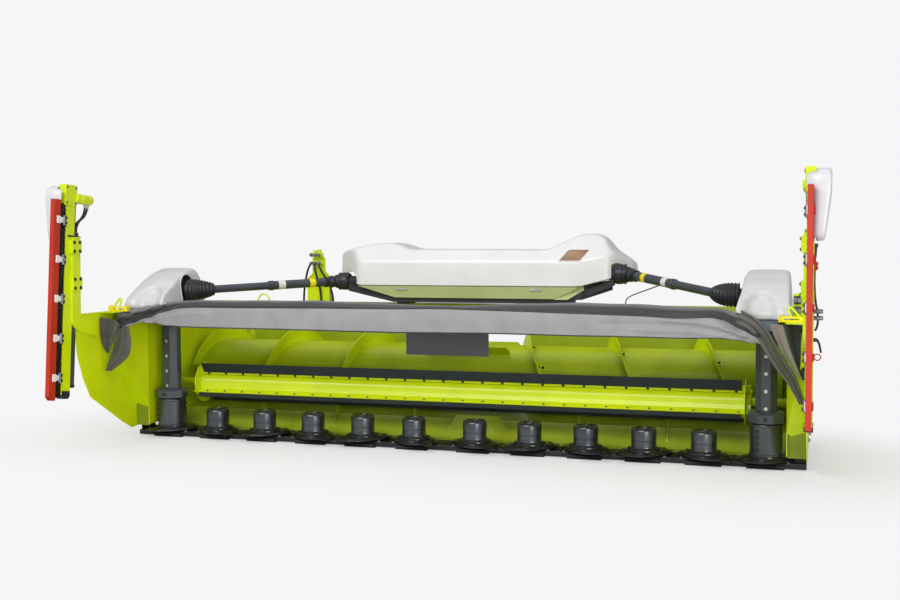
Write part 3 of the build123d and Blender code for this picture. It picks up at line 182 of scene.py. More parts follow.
# The covers' white moulding is a darker copy of the lid's: painted shade.
finish("white moulding in painted shade", "white_plastic", "#d3d4d5", "#cecfd0", (0.3, 0.4), grain=800.0, bump=0.03, coat=0.15)
# The pale olive paints the lime paint's reflection on the moulding's lower return.
finish("olive moulding", "olive_plastic", "#c0ca90", "#b6c086", (0.4, 0.5), grain=800.0, bump=0.05)
finish("black guard", "black_plastic", "#1c1f23", "#24272c", (0.34, 0.5), grain=600.0, bump=0.06)
finish("shaft tube", "black_plastic", "#4c5159", "#444950", (0.28, 0.38), grain=600.0, bump=0.04, metal=0.3)
finish("strip rubber", "rubber_black", "#1b222c", "#232b36", (0.5, 0.66), grain=700.0, bump=0.12)
finish("red paint", "red_paint", "#bd2604", "#b22303", (0.42, 0.55), grain=420.0, bump=0.04)
finish("knife steel", "knife_steel", "#1a1a1b", "#2b2a29", (0.35, 0.6), patch=30.0, grain=300.0, bump=0.15,
       metal=0.6)
finish("bright zinc", "knife_steel", "#d7d8d6", "#b9bab6", (0.25, 0.4), patch=40.0, grain=500.0, bump=0.08,
       metal=0.75)
finish("yellow plastic", "yellow_plastic", "#f6e600", "#efdc00", (0.35, 0.45), grain=700.0, bump=0.05)
finish("hose rubber", "hose_rubber", "#191a1c", "#232426", (0.42, 0.56), grain=900.0, bump=0.1)
finish("white label", "white_plastic", "#e9e7e4", "#dedcd8", (0.4, 0.5), grain=800.0, bump=0.03)
print("finishes", len(FINISH))

# %% Steel for blades and bolts, the tinted pane
finish("blade steel", "disc_black", "#5b5b5a", "#3d3c3a", (0.28, 0.5), patch=60.0, grain=300.0, bump=0.12,
       metal=0.7)
finish("dark bolt", "disc_black", "#3a3b3c", "#28292b", (0.35, 0.55), patch=60.0, grain=400.0, bump=0.08,
       metal=0.5)
finish("dull bolt", "bar_steel", "#8d8e8e", "#717273", (0.35, 0.5), patch=60.0, grain=400.0, bump=0.08,
       metal=0.6)
finish("tinted pane", "tinted_pane", "#8d6a4c", "#a98362", (0.06, 0.1), patch=9.0, grain=200.0, bump=0.01,
       coat=0.8)
finish("white clip", "white_plastic", "#eceae6", "#dfddd8", (0.35, 0.45), patch=30.0, grain=700.0, bump=0.03)
finish("deck paint", "grey_paint", "#66727f", "#5d6874", (0.3, 0.42), grain=500.0, bump=0.05, coat=0.2)
# The trough's lime, darker still, paints the shade inside the trough; its dust gathers low down.
finish("trough paint", "lime_paint", "#a5b800", "#98aa00", (0.36, 0.52), grain=420.0, bump=0.05, coat=0.15,
       dust=0.25)
finish("drum paint", "disc_black", "#5e6266", "#505458", (0.28, 0.34), patch=5.0, grain=300.0, bump=0.02,
       metal=0.85)
finish("shaded paint", "lime_paint", "#7f8f0a", "#738208", (0.4, 0.55), grain=420.0, bump=0.05)
# A lighter copy of the lime paint paints the highlight on the wall's rungs.
finish("bright lime", "lime_paint", "#e4f03c", "#d8e62a", (0.4, 0.5), grain=420.0, bump=0.04)
print("finishes", len(FINISH))

# %% [markdown]
# ## Meshes from arrays
# Every new piece starts as arrays: rows of points for a curved surface, or one small solid repeated
# at many places. A shared helper turns them into a mesh, merges the seams and poles, points the
# faces outwards, and lets the piece ride on its CAD body.

# %% Mesh helpers
def piece(name, points, faces, paint, body=MOWER, smooth=35.0, wall=0.0, replaces=(), uv=None, closed=True):
    """Makes a piece from points and faces; wall gives an open sheet its thickness inwards."""
    mesh = bpy.data.meshes.new(name)
    faces = faces.tolist() if isinstance(faces, np.ndarray) else faces
    mesh.from_pydata(np.asarray(points, float).reshape(-1, 3).tolist(), [], faces)
    if uv is not None:
        layer = mesh.uv_layers.new(name="cut")
        corners = np.empty(len(mesh.loops), np.int32)
        mesh.loops.foreach_get("vertex_index", corners)
        layer.data.foreach_set("uv", np.asarray(uv, np.float32).reshape(-1, 2)[corners].ravel())
    work = bmesh.new()
    work.from_mesh(mesh)
    bmesh.ops.remove_doubles(work, verts=work.verts, dist=1e-6)
    bmesh.ops.dissolve_degenerate(work, dist=1e-7, edges=work.edges)
    if closed:
        bmesh.ops.recalc_face_normals(work, faces=work.faces)
    work.to_mesh(mesh)
    work.free()
    mesh.shade_smooth()
    mesh.set_sharp_from_angle(angle=math.radians(smooth))
    thing = bpy.data.objects.new(name, mesh)
    bpy.context.scene.collection.objects.link(thing)
    material, slot = FINISH[paint]
    mesh.materials.append(material)
    if wall:
        shell = thing.modifiers.new("wall", "SOLIDIFY")
        shell.thickness, shell.offset = wall, -1.0
    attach(thing, body)
    if replaces:
        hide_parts(*replaces)
    return thing


def placed(name, solid, paint, **options):
    """A piece from (points, faces) measured from the disc line."""
    return piece(name, at(solid[0]), solid[1], paint, **options)


def quads(rows, columns, round_rows=False, round_columns=False):
    """Faces of a grid of rows x columns points, joined end to end where asked."""
    r = np.arange(rows if round_rows else rows - 1)[:, None]
    c = np.arange(columns if round_columns else columns - 1)[None, :]
    nr, nc = (r + 1) % rows, (c + 1) % columns
    return np.stack([r * columns + c, r * columns + nc, nr * columns + nc, nr * columns + c], -1).reshape(-1, 4)


def surface(name, grid, paint, round_rows=False, round_columns=False, **options):
    """A curved sheet or closed skin through a (rows, columns, 3) grid of points."""
    rows, columns = grid.shape[:2]
    return piece(name, grid, quads(rows, columns, round_rows, round_columns), paint, **options)


def skin(name, rings, paint, **options):
    """A skin through rings of points measured from the disc line."""
    return surface(name, at(rings), paint, round_columns=True, **options)


print("piece, placed, surface and skin ready")

# %% Small solids, their copies and lathe forms
def circle(angles):
    """Points of the unit circle at some angles."""
    return np.stack([np.cos(angles), np.sin(angles)], -1)


def hull(points):
    """The smallest convex solid round some points, as (points, list of faces)."""
    work = bmesh.new()
    for point in np.asarray(points, float):
        work.verts.new(point)
    bmesh.ops.convex_hull(work, input=work.verts)
    bmesh.ops.dissolve_limit(work, angle_limit=0.01, verts=work.verts, edges=work.edges)
    work.verts.index_update()
    result = np.array([v.co for v in work.verts]), [[v.index for v in f.verts] for f in work.faces]
    work.free()
    return result


def copies(solid, places):
    """One small solid at many places, each a 3 x 4 array of turn and shift; returns joined points and faces."""
    points, faces = solid
    places = np.asarray(places, float)
    moved = np.einsum("kij,nj->kni", places[:, :, :3], points) + places[:, None, :, 3]
    joined = [[i + number * len(points) for i in face] for number in range(len(places)) for face in faces]
    return moved.reshape(-1, 3), joined


def facing(points, way, turn=0.0):
    """Places for copies: local Z looks along way, turned by turn about it."""
    points = np.atleast_2d(np.asarray(points, float))
    z = np.broadcast_to(np.asarray(way, float), points.shape)
    z = z / np.linalg.norm(z, axis=1, keepdims=True)
    helper = np.where(np.abs(z[:, 2:3]) > 0.9, [[1.0, 0.0, 0.0]], [[0.0, 0.0, 1.0]])
    x = np.cross(helper, z)
    x /= np.linalg.norm(x, axis=1, keepdims=True)
    y = np.cross(z, x)
    c, s = math.cos(turn), math.sin(turn)
    return np.stack([c * x + s * y, c * y - s * x, z, points], axis=-1)


def join(*solids):
    """Several (points, faces) as one."""
    points, faces, count = [], [], 0
    for more, sides in solids:
        points.append(more)
        faces += [[i + count for i in face] for face in sides]
        count += len(more)
    return np.concatenate(points), faces


def bolt(radius, height):
    """A washer and a hexagon head with a softened top."""
    angle = np.arange(6) * math.pi / 3
    ring = circle(angle)
    wide = np.arange(12) * math.pi / 6
    washer = circle(wide) * radius * 1.45
    levels = [(ring * radius, height * 0.2), (ring * radius, height * 0.86), (ring * radius * 0.86, height)]
    head = np.concatenate([np.column_stack([r, np.full(6, z)]) for r, z in levels])
    base = np.concatenate([np.column_stack([washer, np.full(12, z)]) for z in (-height * 0.1, height * 0.2)])
    return join(hull(head), hull(base))


def bolted(radius, height, places, way):
    """Bolts of one size at some places, all facing one way, as (points, faces)."""
    return copies(bolt(radius, height), facing(places, way))


def brick(x, y, z, edge=0.0015):
    """A box centred on the origin in X and Y and standing on Z 0, with its edges cut by edge."""
    corners = np.array([[i, j, k] for i in (-1, 1) for j in (-1, 1) for k in (-1, 1)], float)
    half = np.array([x, y, z]) / 2
    cut = [corners * half - corners * np.roll([0.0, edge, edge], shift) for shift in range(3)]
    points, faces = hull(np.concatenate(cut))
    return points + np.array([0, 0, z / 2]), faces


def turned(profile, start, way, sides=48):
    """A solid of revolution: profile rows are (distance along way from start, radius)."""
    profile = np.asarray(profile, float)
    x, y, z = (facing([start], way)[0][:, i] for i in range(3))
    angle = np.arange(sides) * 2 * math.pi / sides
    ring = np.cos(angle)[:, None] * x + np.sin(angle)[:, None] * y
    return np.asarray(start, float) + profile[:, None, :1] * z + profile[:, None, 1:] * ring[None, :, :]


def lathes(profile, places, way, sides):
    """One turned form at several places, all facing one way, as (points, faces)."""
    rings = [turned(profile, place, way, sides).reshape(-1, 3) for place in places]
    faces = quads(len(profile), sides, round_columns=True)
    faces = [faces + number * len(profile) * sides for number in range(len(rings))]
    return np.concatenate(rings), np.concatenate(faces).tolist()


def box_between(low, high, edge=0.0015):
    """A brick from its lowest to its highest corner."""
    low, high = np.asarray(low, float), np.asarray(high, float)
    points, faces = brick(*(high - low), edge)
    middle = (low + high) / 2
    return points + [middle[0], middle[1], low[2]], faces


def boxes(*rows):
    """Bricks joined into one solid; each row is (lowest corner, highest corner, edge)."""
    return join(*[box_between(*row) for row in rows])


def both(solid):
    """A right-hand (points, faces) joined with its mirror image on the left."""
    points, faces = solid
    return join(solid, (points * np.array([-1.0, 1.0, 1.0]), [list(face)[::-1] for face in faces]))


print("helpers ready")

# %% [markdown]
# ## Paint on the CAD pieces
# The sheet-metal and cast pieces keep their CAD form. Their meshes come as loose triangles with
# knife-sharp edges, so a Weld joins them and a narrow Bevel gives each edge the small round that
# pressed and painted steel has, which is what catches the light.

# %% Finish the nodes that stay
NODE_PAINT = {  # paint: {node: width of its rounded edges}
    "lime paint": {"side_plates": 0.002, "side_panels": 0.001, "knife_beams": 0.005, "hose_bracket": 0.002,
                   "paddle_roller": 0.002},
    # darker lime: painted shade on the inner and rear parts, with dust low down
    "lime paint inside": {"front_beam": 0.006, "rear_frame": 0.008, "hitch_frame": 0.004, "auger": 0.004,
                          "guard_frame": 0.003, "stand_left": 0.003, "stand_right": 0.003,
                          "stand_brackets": 0.002},
    "column paint": {"towers": 0.005, "drive_input": 0.006, "knife_ducts": 0.003},
    "dark casting": {"centre_drive": 0.008, "tower_gearboxes": 0.006},
    "trough paint": {"trough": 0.001}, "flap rubber": {"crop_flap": 0.002},
    # the trough's darker lime paints its shade; the olive tray's colour paints the lime's reflection
    "olive moulding": {"lid_tray": 0.003}, "strip rubber": {"paddle_strips": 0.002},
    "red paint": {"knife_guards": 0.002}, "knife steel": {"knife_bars": 0.001},
    "yellow plastic": {"corner_plates": 0.003}, "bar paint": {"mower_bar": 0.003},
}
for paint, round_widths in NODE_PAINT.items():
    for node, round_width in round_widths.items():
        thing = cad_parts[node]
        for socket in thing.material_slots:
            socket.material = FINISH[paint][0]
        thing.modifiers.new("weld", "WELD").merge_threshold = 1e-5
        edge = thing.modifiers.new("edge", "BEVEL")
        edge.width, edge.segments = round_width, 2
        edge.limit_method, edge.angle_limit = "ANGLE", math.radians(38)
print("painted", sum(map(len, NODE_PAINT.values())), "nodes")

# %% [markdown]
# ## Cutting discs
# Twelve oval discs run along the mower bar, each a quarter turn from the next. A real one is
# pressed from thick plate: a sharp rim, a shallow slope, a round step, and a bolted hub with a
# bevelled top. All of that is one function of angle and level, where each level is a mix of the
# oval outline and a circle. At the two ends a tall drum with rows of lugs takes the hub's place.

# %% Disc surface
DISC_LEVELS = np.array([  # share of oval, circle radius, height
    (0.0, 0.000, 0.0505), (0.0, 0.026, 0.0505), (0.0, 0.026, 0.0585), (0.0, 0.110, 0.0585),
    (0.97, 0.10, 0.0590), (1.0, 0.10, 0.0605), (1.0, 0.10, 0.0640), (0.975, 0.10, 0.0672), (0.90, 0.10, 0.0690),
    (0.84, 0.10, 0.0705), (0.80, 0.10, 0.0750), (0.74, 0.10, 0.0768), (0.30, 0.120, 0.0785),
    (0.0, 0.127, 0.0795), (0.0, 0.1225, 0.0815), (0.0, 0.1205, 0.0900), (0.0, 0.1170, 0.0935),
    (0.0, 0.1120, 0.0945), (0.0, 0.0000, 0.0945),
])
HUB_LEVELS = np.array([  # radius, height
    (0.0, 0.0935), (0.094, 0.0935), (0.094, 0.0945), (0.088, 0.0965), (0.0835, 0.101), (0.082, 0.108),
    (0.082, 0.149), (0.0795, 0.1505), (0.0795, 0.1545), (0.082, 0.156), (0.082, 0.219), (0.0805, 0.2235),
    (0.0735, 0.2335), (0.0705, 0.2355), (0.044, 0.2360), (0.042, 0.2320), (0.025, 0.2315), (0.0235, 0.2375),
    (0.0, 0.2385),
])
DRUM_LEVELS = np.array([
    (0.0, 0.0930), (0.1130, 0.0930), (0.1130, 0.0960), (0.1130, 0.1030), (0.1085, 0.1060), (0.1085, 0.2880),
    (0.1130, 0.2910), (0.1130, 0.2990), (0.1090, 0.3060), (0.1000, 0.3100), (0.0, 0.3100),
])
END_DISCS = (1, 12)


def disc_turn(number):
    """Degrees from X to the blades: each disc a quarter turn on, and the right half mirrored."""
    turn = 45.0 + 90.0 * ((number - 1) % 2)
    return turn if number <= 6 else -turn


def spun(points, degrees, x):
    """Points turned about Z and moved along the line of discs."""
    c, s = math.cos(math.radians(degrees)), math.sin(math.radians(degrees))
    points = np.asarray(points, float)
    return at(points @ np.array([[c, s, 0], [-s, c, 0], [0, 0, 1.0]]) + np.array([x, 0, 0]))


def disc_skin(levels, sides=96):
    """Each row is circle + share x (oval - circle); the oval is two half circles 0.14 apart."""
    angle = np.arange(sides) * 2 * math.pi / sides
    round_way = circle(angle)
    oval = round_way * 0.145 + np.stack([0.070 * np.tanh(6 * np.cos(angle)), np.zeros(sides)], -1)
    share, radius, height = (levels[:, i, None] for i in range(3))
    flat = share[..., None] * oval + (1 - share[..., None]) * radius[..., None] * round_way
    return np.concatenate([flat, np.broadcast_to(height[..., None], flat.shape[:2] + (1,))], -1)


blade_profile = np.array([(0.146, -0.021), (0.152, -0.024), (0.240, -0.023), (0.247, -0.017), (0.249, 0.010),
                          (0.244, 0.020), (0.236, 0.023), (0.152, 0.024), (0.146, 0.021)])
blade_top = np.column_stack([blade_profile, np.full(len(blade_profile), 0.0575)])
blade_low = np.column_stack([blade_profile * [1.0, 0.86], np.full(len(blade_profile), 0.0542)])
blade = hull(np.concatenate([blade_top, blade_low]))
blades = join(blade, (blade[0] * [-1.0, -1.0, 1.0], blade[1]))
bolt_angle = np.radians(np.arange(6) * 60.0 + 30.0)
bolt_ring = circle(bolt_angle)
clamp_bolts = bolted(0.0125, 0.0100, [(0.178, 0.0, 0.0700), (-0.178, 0.0, 0.0700)], (0, 0, 1))
for number in range(1, 13):
    x, turn = DISC_X[number - 1], disc_turn(number)
    disc, body = f"disc_{number:02d}", f"disc_{number:02d}_body"
    surface(f"{disc}_plate", spun(disc_skin(DISC_LEVELS), turn, x), "disc paint", round_columns=True, body=body,
            smooth=28.0, replaces=(disc,))
    levels = DRUM_LEVELS if number in END_DISCS else HUB_LEVELS * [1.08, 1.0]
    core = disc_skin(np.insert(levels, 0, 0.0, axis=1), 72)
    surface(f"{disc}_hub", spun(core, turn, x), "drum paint", round_columns=True, body=body, smooth=24.0)
    piece(f"{disc}_blades", spun(blades[0], turn, x), blades[1], "blade steel", body=body)
    if number in END_DISCS:
        lug_angle = np.radians([170.0, 350.0] if number == 1 else [15.0, 195.0])
        lug_ring = circle(lug_angle)
        places = np.column_stack([np.tile(lug_ring * 0.1075, (4, 1)),
                                  np.repeat([0.135, 0.175, 0.215, 0.255], 2)])
        outward = np.column_stack([np.tile(lug_ring, (4, 1)), np.zeros(8)])
        lugs = copies(brick(0.022, 0.030, 0.010, 0.003), facing(places, outward))
        piece(f"{disc}_lugs", spun(lugs[0], turn, x), lugs[1], "disc paint", body=body)
        places = np.column_stack([bolt_ring * 0.088, np.full(6, 0.3095)])
    else:
        places = np.column_stack([bolt_ring * 0.0575, np.full(6, 0.2355)])
    heads = join(bolted(0.0062, 0.0055, places, (0, 0, 1)), clamp_bolts)
    piece(f"{disc}_bolts", spun(heads[0], turn, x), heads[1], "dark bolt", body=body)
print("discs dressed at", [round(v, 3) for v in DISC_X])

# %% [markdown]
# ## Auger flights
# The auger gathers the crop from both sides, so its two sheet-metal screws are of opposite hand and
# run towards the middle, where flat paddles throw the crop to the rear. A flight is a ribbon: its
# angle grows with its distance along the tube, and its width runs from the tube to the rim.

# %% Screw flights
AUGER_Y, AUGER_Z = 0.770044, 0.520
FLIGHT_FOOT, FLIGHT_RUN, FLIGHT_PITCH = 0.3535, 2.043, 0.685
FLIGHT_START = {1: 51.0, -1: -99.0}  # degrees
FLIGHT_TURN = 360.0 * FLIGHT_RUN / FLIGHT_PITCH
WELD_RADIUS, EAR_COUNT = 0.2052, 20


def screw(side, share):
    """At a share of the flight's run: the place along the tube and the angle round it."""
    return (side * (FLIGHT_FOOT + FLIGHT_PITCH * FLIGHT_TURN * share / 360.0),
            np.radians(FLIGHT_TURN * share - FLIGHT_START[side]))


def round_auger(x, radius, angle):
    """Points (x, -r sin, r cos) round the auger's axis."""
    y, z = AUGER_Y - radius * np.sin(angle), AUGER_Z + radius * np.cos(angle)
    return np.stack([np.broadcast_to(x, y.shape), y, z], -1)


def flight_ribbon(side, steps=420):
    """A ribbon from the tube to the rim, whose first points turn out into a small welded foot."""
    radius = np.array([0.2035, 0.2060, 0.2120, 0.2500, 0.2960, 0.3050, 0.3095])
    foot = np.array([0.0055, 0.0020, 0.0, 0.0, 0.0, 0.0, 0.0])
    x, angle = screw(side, np.linspace(0.0, 1.0, steps)[:, None])
    return at(round_auger(x - side * foot, radius, angle))


for side, name in SIDES:
    ribbon = surface(f"auger_flight_{name}", flight_ribbon(side), "lime paint", body="auger_body", smooth=60.0,
                     closed=False, replaces=("auger_flights",) if side > 0 else ())
    shell = ribbon.modifiers.new("plate", "SOLIDIFY")
    shell.thickness, shell.offset, shell.use_rim = 0.006, 0.0, True
    x, angle = screw(side, (np.arange(EAR_COUNT) + 0.35) / EAR_COUNT)
    out = np.column_stack([np.zeros(EAR_COUNT), -np.sin(angle), np.cos(angle)])
    foot = at(round_auger(x, WELD_RADIUS, angle))
    ears = copies(brick(0.052, 0.040, 0.006, 0.0015), facing(foot + [side * 0.024, 0, 0], out))
    piece(f"auger_ears_{name}", *ears, "lime paint", body="auger_body")
    heads = join(bolted(0.0085, 0.0075, foot + out * 0.006 + [side * 0.028, 0, 0], out),
                 bolted(0.0085, 0.0075, foot + out * 0.030 + [side * 0.0035, 0, 0], (side, 0, 0)))
    piece(f"auger_bolts_{name}", *heads, "dark bolt", body="auger_body")
print("flights turn", round(FLIGHT_TURN), "degrees each")

# %% Feed paddles
outline = np.array([(-0.343, 0.2035), (0.343, 0.2035), (0.343, 0.262), (0.318, 0.2915), (-0.318, 0.2915),
                    (-0.343, 0.262)])
plates = []
for a in np.radians(45.0 + 90.0 * np.arange(4)):
    out, across = np.array([0.0, math.cos(a), math.sin(a)]), np.array([0.0, -math.sin(a), math.cos(a)])
    plate = np.outer(outline[:, 1], out) + np.outer(outline[:, 0], [1.0, 0, 0]) + [0.0, AUGER_Y, AUGER_Z]
    plates.append(hull(at(np.concatenate([plate, plate + across * 0.007]))))
# The paddles wear the darker lime: painted shade.
piece("feed_paddles", *join(*plates), "lime paint inside", body="auger_body")
print("feed paddles", len(plates))

# %% [markdown]
# ## Drive shafts
# Two guarded shafts carry the drive from the middle to the gearboxes over the end discs. Round
# tubes slide in one another under a plastic sleeve, and soft black bellows cover the joints. A tube
# and a bellows are both a circle carried along a line, whose radius changes on the way.

# %% Circle along a line
def swept(path, radii, sides=28):
    """Rings of the given radii round the points of a plane or straight line, square to its direction."""
    path = np.asarray(path, float)
    along = np.gradient(path, axis=0)
    along /= np.linalg.norm(along, axis=1, keepdims=True)
    sideways = np.linalg.svd(path - path.mean(0))[2][2]
    x = np.cross(along, sideways)
    x /= np.linalg.norm(x, axis=1, keepdims=True)
    y = np.cross(along, x)
    angle = np.arange(sides) * 2 * math.pi / sides
    ring = np.cos(angle)[None, :, None] * x[:, None, :] + np.sin(angle)[None, :, None] * y[:, None, :]
    return path[:, None, :] + np.broadcast_to(radii, len(path))[:, None, None] * ring


def bend(a, b, c, count):
    """Points of a parabola from a to c that sets out towards b: (1-t)^2 a + 2t(1-t) b + t^2 c."""
    t = np.linspace(0.0, 1.0, count)[:, None]
    a, b, c = (np.asarray(p, float) for p in (a, b, c))
    return (1 - t) ** 2 * a + 2 * t * (1 - t) * b + t ** 2 * c


def bellows(a, b, c, large, small, folds, fall=1.15, depth=0.17):
    """A folded sleeve along a bend: the radius falls from large to small and swings once a fold."""
    count = folds * 8 + 1
    line = bend(a, b, c, count)
    share = np.linspace(0.0, 1.0, count)
    fold = 0.5 + 0.5 * np.cos(share * folds * 2 * math.pi)
    radii = (large + (small - large) * share ** fall) * (1.0 - depth * (1 - fold))
    line = np.concatenate([line[:1], line, line[-1:]])
    return swept_closed(line, np.concatenate([[0.0], radii, [0.0]]))


def swept_closed(line, radii, sides=40):
    """A swept skin that closes to a point at both ends, where two rings share one place."""
    line = np.asarray(line, float).copy()
    line[0] = line[1] + (line[1] - line[2]) * 1e-3
    line[-1] = line[-2] + (line[-2] - line[-3]) * 1e-3
    return swept(line, radii, sides)


# %% Two drive shafts
SHAFT_Y, SHAFT_OUTER = 0.946, (2.100, 0.0, 1.178)
SHAFT_INNER = {"left": (-1.150, SHAFT_Y, 1.220), "right": (1.112, SHAFT_Y, 1.290)}
for side, name, guard in ((-1, "left", 0.074), (1, "right", 0.080)):
    inner, outer = np.array(SHAFT_INNER[name]), np.array(SHAFT_OUTER) * [side, 1, 1]
    start, end = inner + [side * 0.096, 0, 0], outer - [side * 0.080, 0, 0]
    run = np.linalg.norm(end - start)
    way = (end - start) / run
    tube = np.array([(-0.02, 0.0), (-0.02, 0.036), (run * 0.50, 0.036), (run * 0.502, 0.040),
                     (run * 0.532, 0.040), (run * 0.534, 0.034), (run * 0.56, 0.031), (run + 0.02, 0.031),
                     (run + 0.02, 0.0)])
    skin(f"shaft_tube_{name}", turned(tube, start, way), "shaft tube",
         replaces=("drive_shafts",) if side > 0 else ())
    big = bellows(outer + [side * 0.030, 0, 0], end, end - way * 0.090, 0.086, 0.050, 8, 2.4, 0.11)
    skin(f"shaft_bellows_{name}", big, "black guard", smooth=50.0)
    small = bellows(inner + [side * 0.058, 0, 0], start, start + way * 0.140, guard * 0.92, 0.046, 4)
    skin(f"shaft_boot_{name}", small, "black guard", smooth=50.0)
    bell = np.array([(-0.004, 0.0), (-0.004, guard * 0.80), (0.004, guard * 0.93), (0.018, guard),
                     (0.060, guard), (0.066, guard * 0.94), (0.074, guard * 0.94), (0.080, guard),
                     (0.090, guard), (0.094, guard * 0.90), (0.094, 0.0)])
    skin(f"shaft_guard_{name}", turned(bell, inner, (side, 0, 0)), "black guard")
    for paint, low, high, radius in (("yellow plastic", 0.195, 0.238, 0.0368),
                                     ("white label", 0.420, 0.470, 0.0366)):
        band = np.array([(share * run, r) for share, r in ((low, radius - 0.002), (low, radius), (high, radius),
                                                           (high, radius - 0.002))])
        skin(f"shaft_{paint.split()[1]}_{name}", turned(band, start, way), paint, closed=False)
print("shafts run", round(run, 3), "m")

# %% [markdown]
# ## Moulded covers
# The white covers are thin plastic mouldings: broad, slightly crowned faces that meet in round
# edges. Here a cover is first laid out as sharp stations, evenly spaced, and then every point is
# averaged with its neighbours, which rounds each edge by the same radius. Solidify gives the wall,
# and the openings for the shafts are cut out with solids, as a router would trim the moulding.

# %% Even spacing, rounding and cutting
def evenly(points, count):
    """A polyline divided into count points at equal steps of its length."""
    points = np.asarray(points, float)
    run = np.concatenate([[0.0], np.cumsum(np.linalg.norm(np.diff(points, axis=0), axis=1))])
    wanted = np.linspace(0.0, run[-1], count)
    return np.stack([np.interp(wanted, run, points[:, i]) for i in range(points.shape[1])], -1)


def rounded(grid, axis, reach, rounds=3, ring=False):
    """Each point becomes the mean of its neighbours within reach, several times; open ends stay."""
    grid = np.moveaxis(np.asarray(grid, float), axis, 0)
    for _ in range(rounds):
        if ring:
            wide = np.concatenate([grid[-reach:], grid, grid[:reach]])
        else:
            before = 2 * grid[:1] - grid[1:reach + 1][::-1]
            after = 2 * grid[-1:] - grid[-reach - 1:-1][::-1]
            wide = np.concatenate([before, grid, after])
        total = np.cumsum(np.concatenate([np.zeros_like(wide[:1]), wide]), axis=0)
        grid = (total[2 * reach + 1:] - total[:-2 * reach - 1]) / (2 * reach + 1)
    return np.moveaxis(grid, 0, axis)


def end_wall(edge, floor, rows, widen=0.0):
    """Rows that drop a cover's last station straight to its floor, drawn sideways by widen x their height."""
    drop = np.linspace(0.0, 1.0, rows + 1)[1:, None]
    wall = np.repeat(edge[None], rows, axis=0)
    wall[:, :, 2] = edge[:, 2] + (floor - edge[:, 2]) * drop
    wall[:, :, 0] += widen * (edge[:, 2] - floor) * drop
    return wall


def carve(thing, *cutters):
    """Cuts closed solids out of a piece, with its wall, and keeps the result as its mesh."""
    tools = []
    for points, faces in cutters:
        mesh = bpy.data.meshes.new("cutter")
        mesh.from_pydata(np.asarray(points).tolist(), [], faces)
        tool = bpy.data.objects.new("cutter", mesh)
        bpy.context.scene.collection.objects.link(tool)
        step = thing.modifiers.new("cut", "BOOLEAN")
        step.operation, step.solver, step.object = "DIFFERENCE", "EXACT", tool
        tools.append(tool)
    graph = bpy.context.evaluated_depsgraph_get()
    mesh = bpy.data.meshes.new_from_object(thing.evaluated_get(graph))
    thing.modifiers.clear()
    thing.data = mesh
    for tool in tools:
        bpy.data.objects.remove(tool)


def tunnel(x0, x1, y, z_low, z, radius):
    """A cutter along X: an upright slot from z_low to z, closed by a half circle of that radius."""
    angle = np.linspace(0.0, math.pi, 25)
    section = np.concatenate([np.column_stack([y + radius * np.cos(angle), z + radius * np.sin(angle)]),
                              [(y - radius, z_low), (y + radius, z_low)]])
    return hull(at(np.concatenate([np.column_stack([np.full(len(section), x), section]) for x in (x0, x1)])))


# %% Centre lid
LID_LEFT, LID_RIGHT, LID_BACK, LID_RIM = -1.290, 1.225, 1.395, 1.292
BACK_LINE = np.array([(LID_LEFT, 1.466), (-1.240, 1.474), (-0.960, 1.532), (-0.800, 1.546), (-0.700, 1.532),
                      (-0.610, 1.492), (0.572, 1.484), (0.700, 1.548), (0.822, 1.604), (0.905, 1.612),
                      (0.985, 1.604), (1.050, 1.558), (1.082, 1.482), (LID_RIGHT, 1.378)])
SIDE_LINE = np.array([(0.835, 1.360), (0.852, 1.400), (0.905, 1.480), (1.025, 1.612), (1.175, 1.612),
                      (1.295, 1.500), (LID_BACK, 1.350)])


def lid_surface(stations=230, around=150, end_rows=14):
    """Height is the lower of the side outline (of y) and the back line (of x), on walls down to the rim."""
    rows = []
    for x in np.linspace(LID_LEFT, LID_RIGHT, stations):
        front = np.interp(x, [LID_LEFT, -1.036, 0.845, 1.085, LID_RIGHT], [1.100, 0.835, 0.835, 0.866, 1.100])
        rim = np.interp(x, [LID_LEFT, -1.036, 0.845, LID_RIGHT], [LID_RIM, 1.193, 1.193, LID_RIM])
        y = np.linspace(front, LID_BACK, 120)
        z = np.minimum(np.interp(y, *SIDE_LINE.T), np.interp(x, *BACK_LINE.T))
        lean = np.interp(z[0], [1.19, 1.40], [0.0, 0.014])
        wall = [(front, rim), (front + lean, z[0])]
        line = np.concatenate([wall, np.column_stack([y, z])[y > front + lean], [(LID_BACK, rim)]])
        rows.append(np.column_stack([np.full(around, x), evenly(line, around)]))
    grid = np.stack(rows)
    left, right = (end_wall(end, LID_RIM, end_rows) for end in (grid[0], grid[-1]))
    return rounded(rounded(np.concatenate([left[::-1], grid, right]), 0, 2), 1, 2)


SHAFT_HOLE, FAR_OUT, BELOW = 0.088, 1.40, 1.10
PANE_LOW, PANE_HIGH = np.array([0.0, 0.853, 1.392]), np.array([0.0, 0.911, 1.484])
lid = surface("centre_lid_shell", at(lid_surface()), "white moulding", body="lid_body", wall=0.006, smooth=60.0,
              replaces=("centre_lid", "lid_window"))
pane_edge = np.array([PANE_LOW + [0.677, 0, 0], PANE_LOW + [0.853, 0, 0], PANE_HIGH + [0.923, 0, 0],
                      PANE_HIGH + [0.747, 0, 0]])
pane_out = np.cross(pane_edge[1] - pane_edge[0], pane_edge[3] - pane_edge[0])
pane_out /= np.linalg.norm(pane_out)
hole = hull(at(np.concatenate([pane_edge + pane_out * 0.05, pane_edge - pane_out * 0.05])))
carve(lid, tunnel(-FAR_OUT, -1.040, SHAFT_Y, BELOW, SHAFT_INNER["left"][2], SHAFT_HOLE),
      tunnel(1.092, FAR_OUT, SHAFT_Y, BELOW, SHAFT_INNER["right"][2], SHAFT_HOLE), hole)
print("lid cut; faces", len(lid.data.polygons))

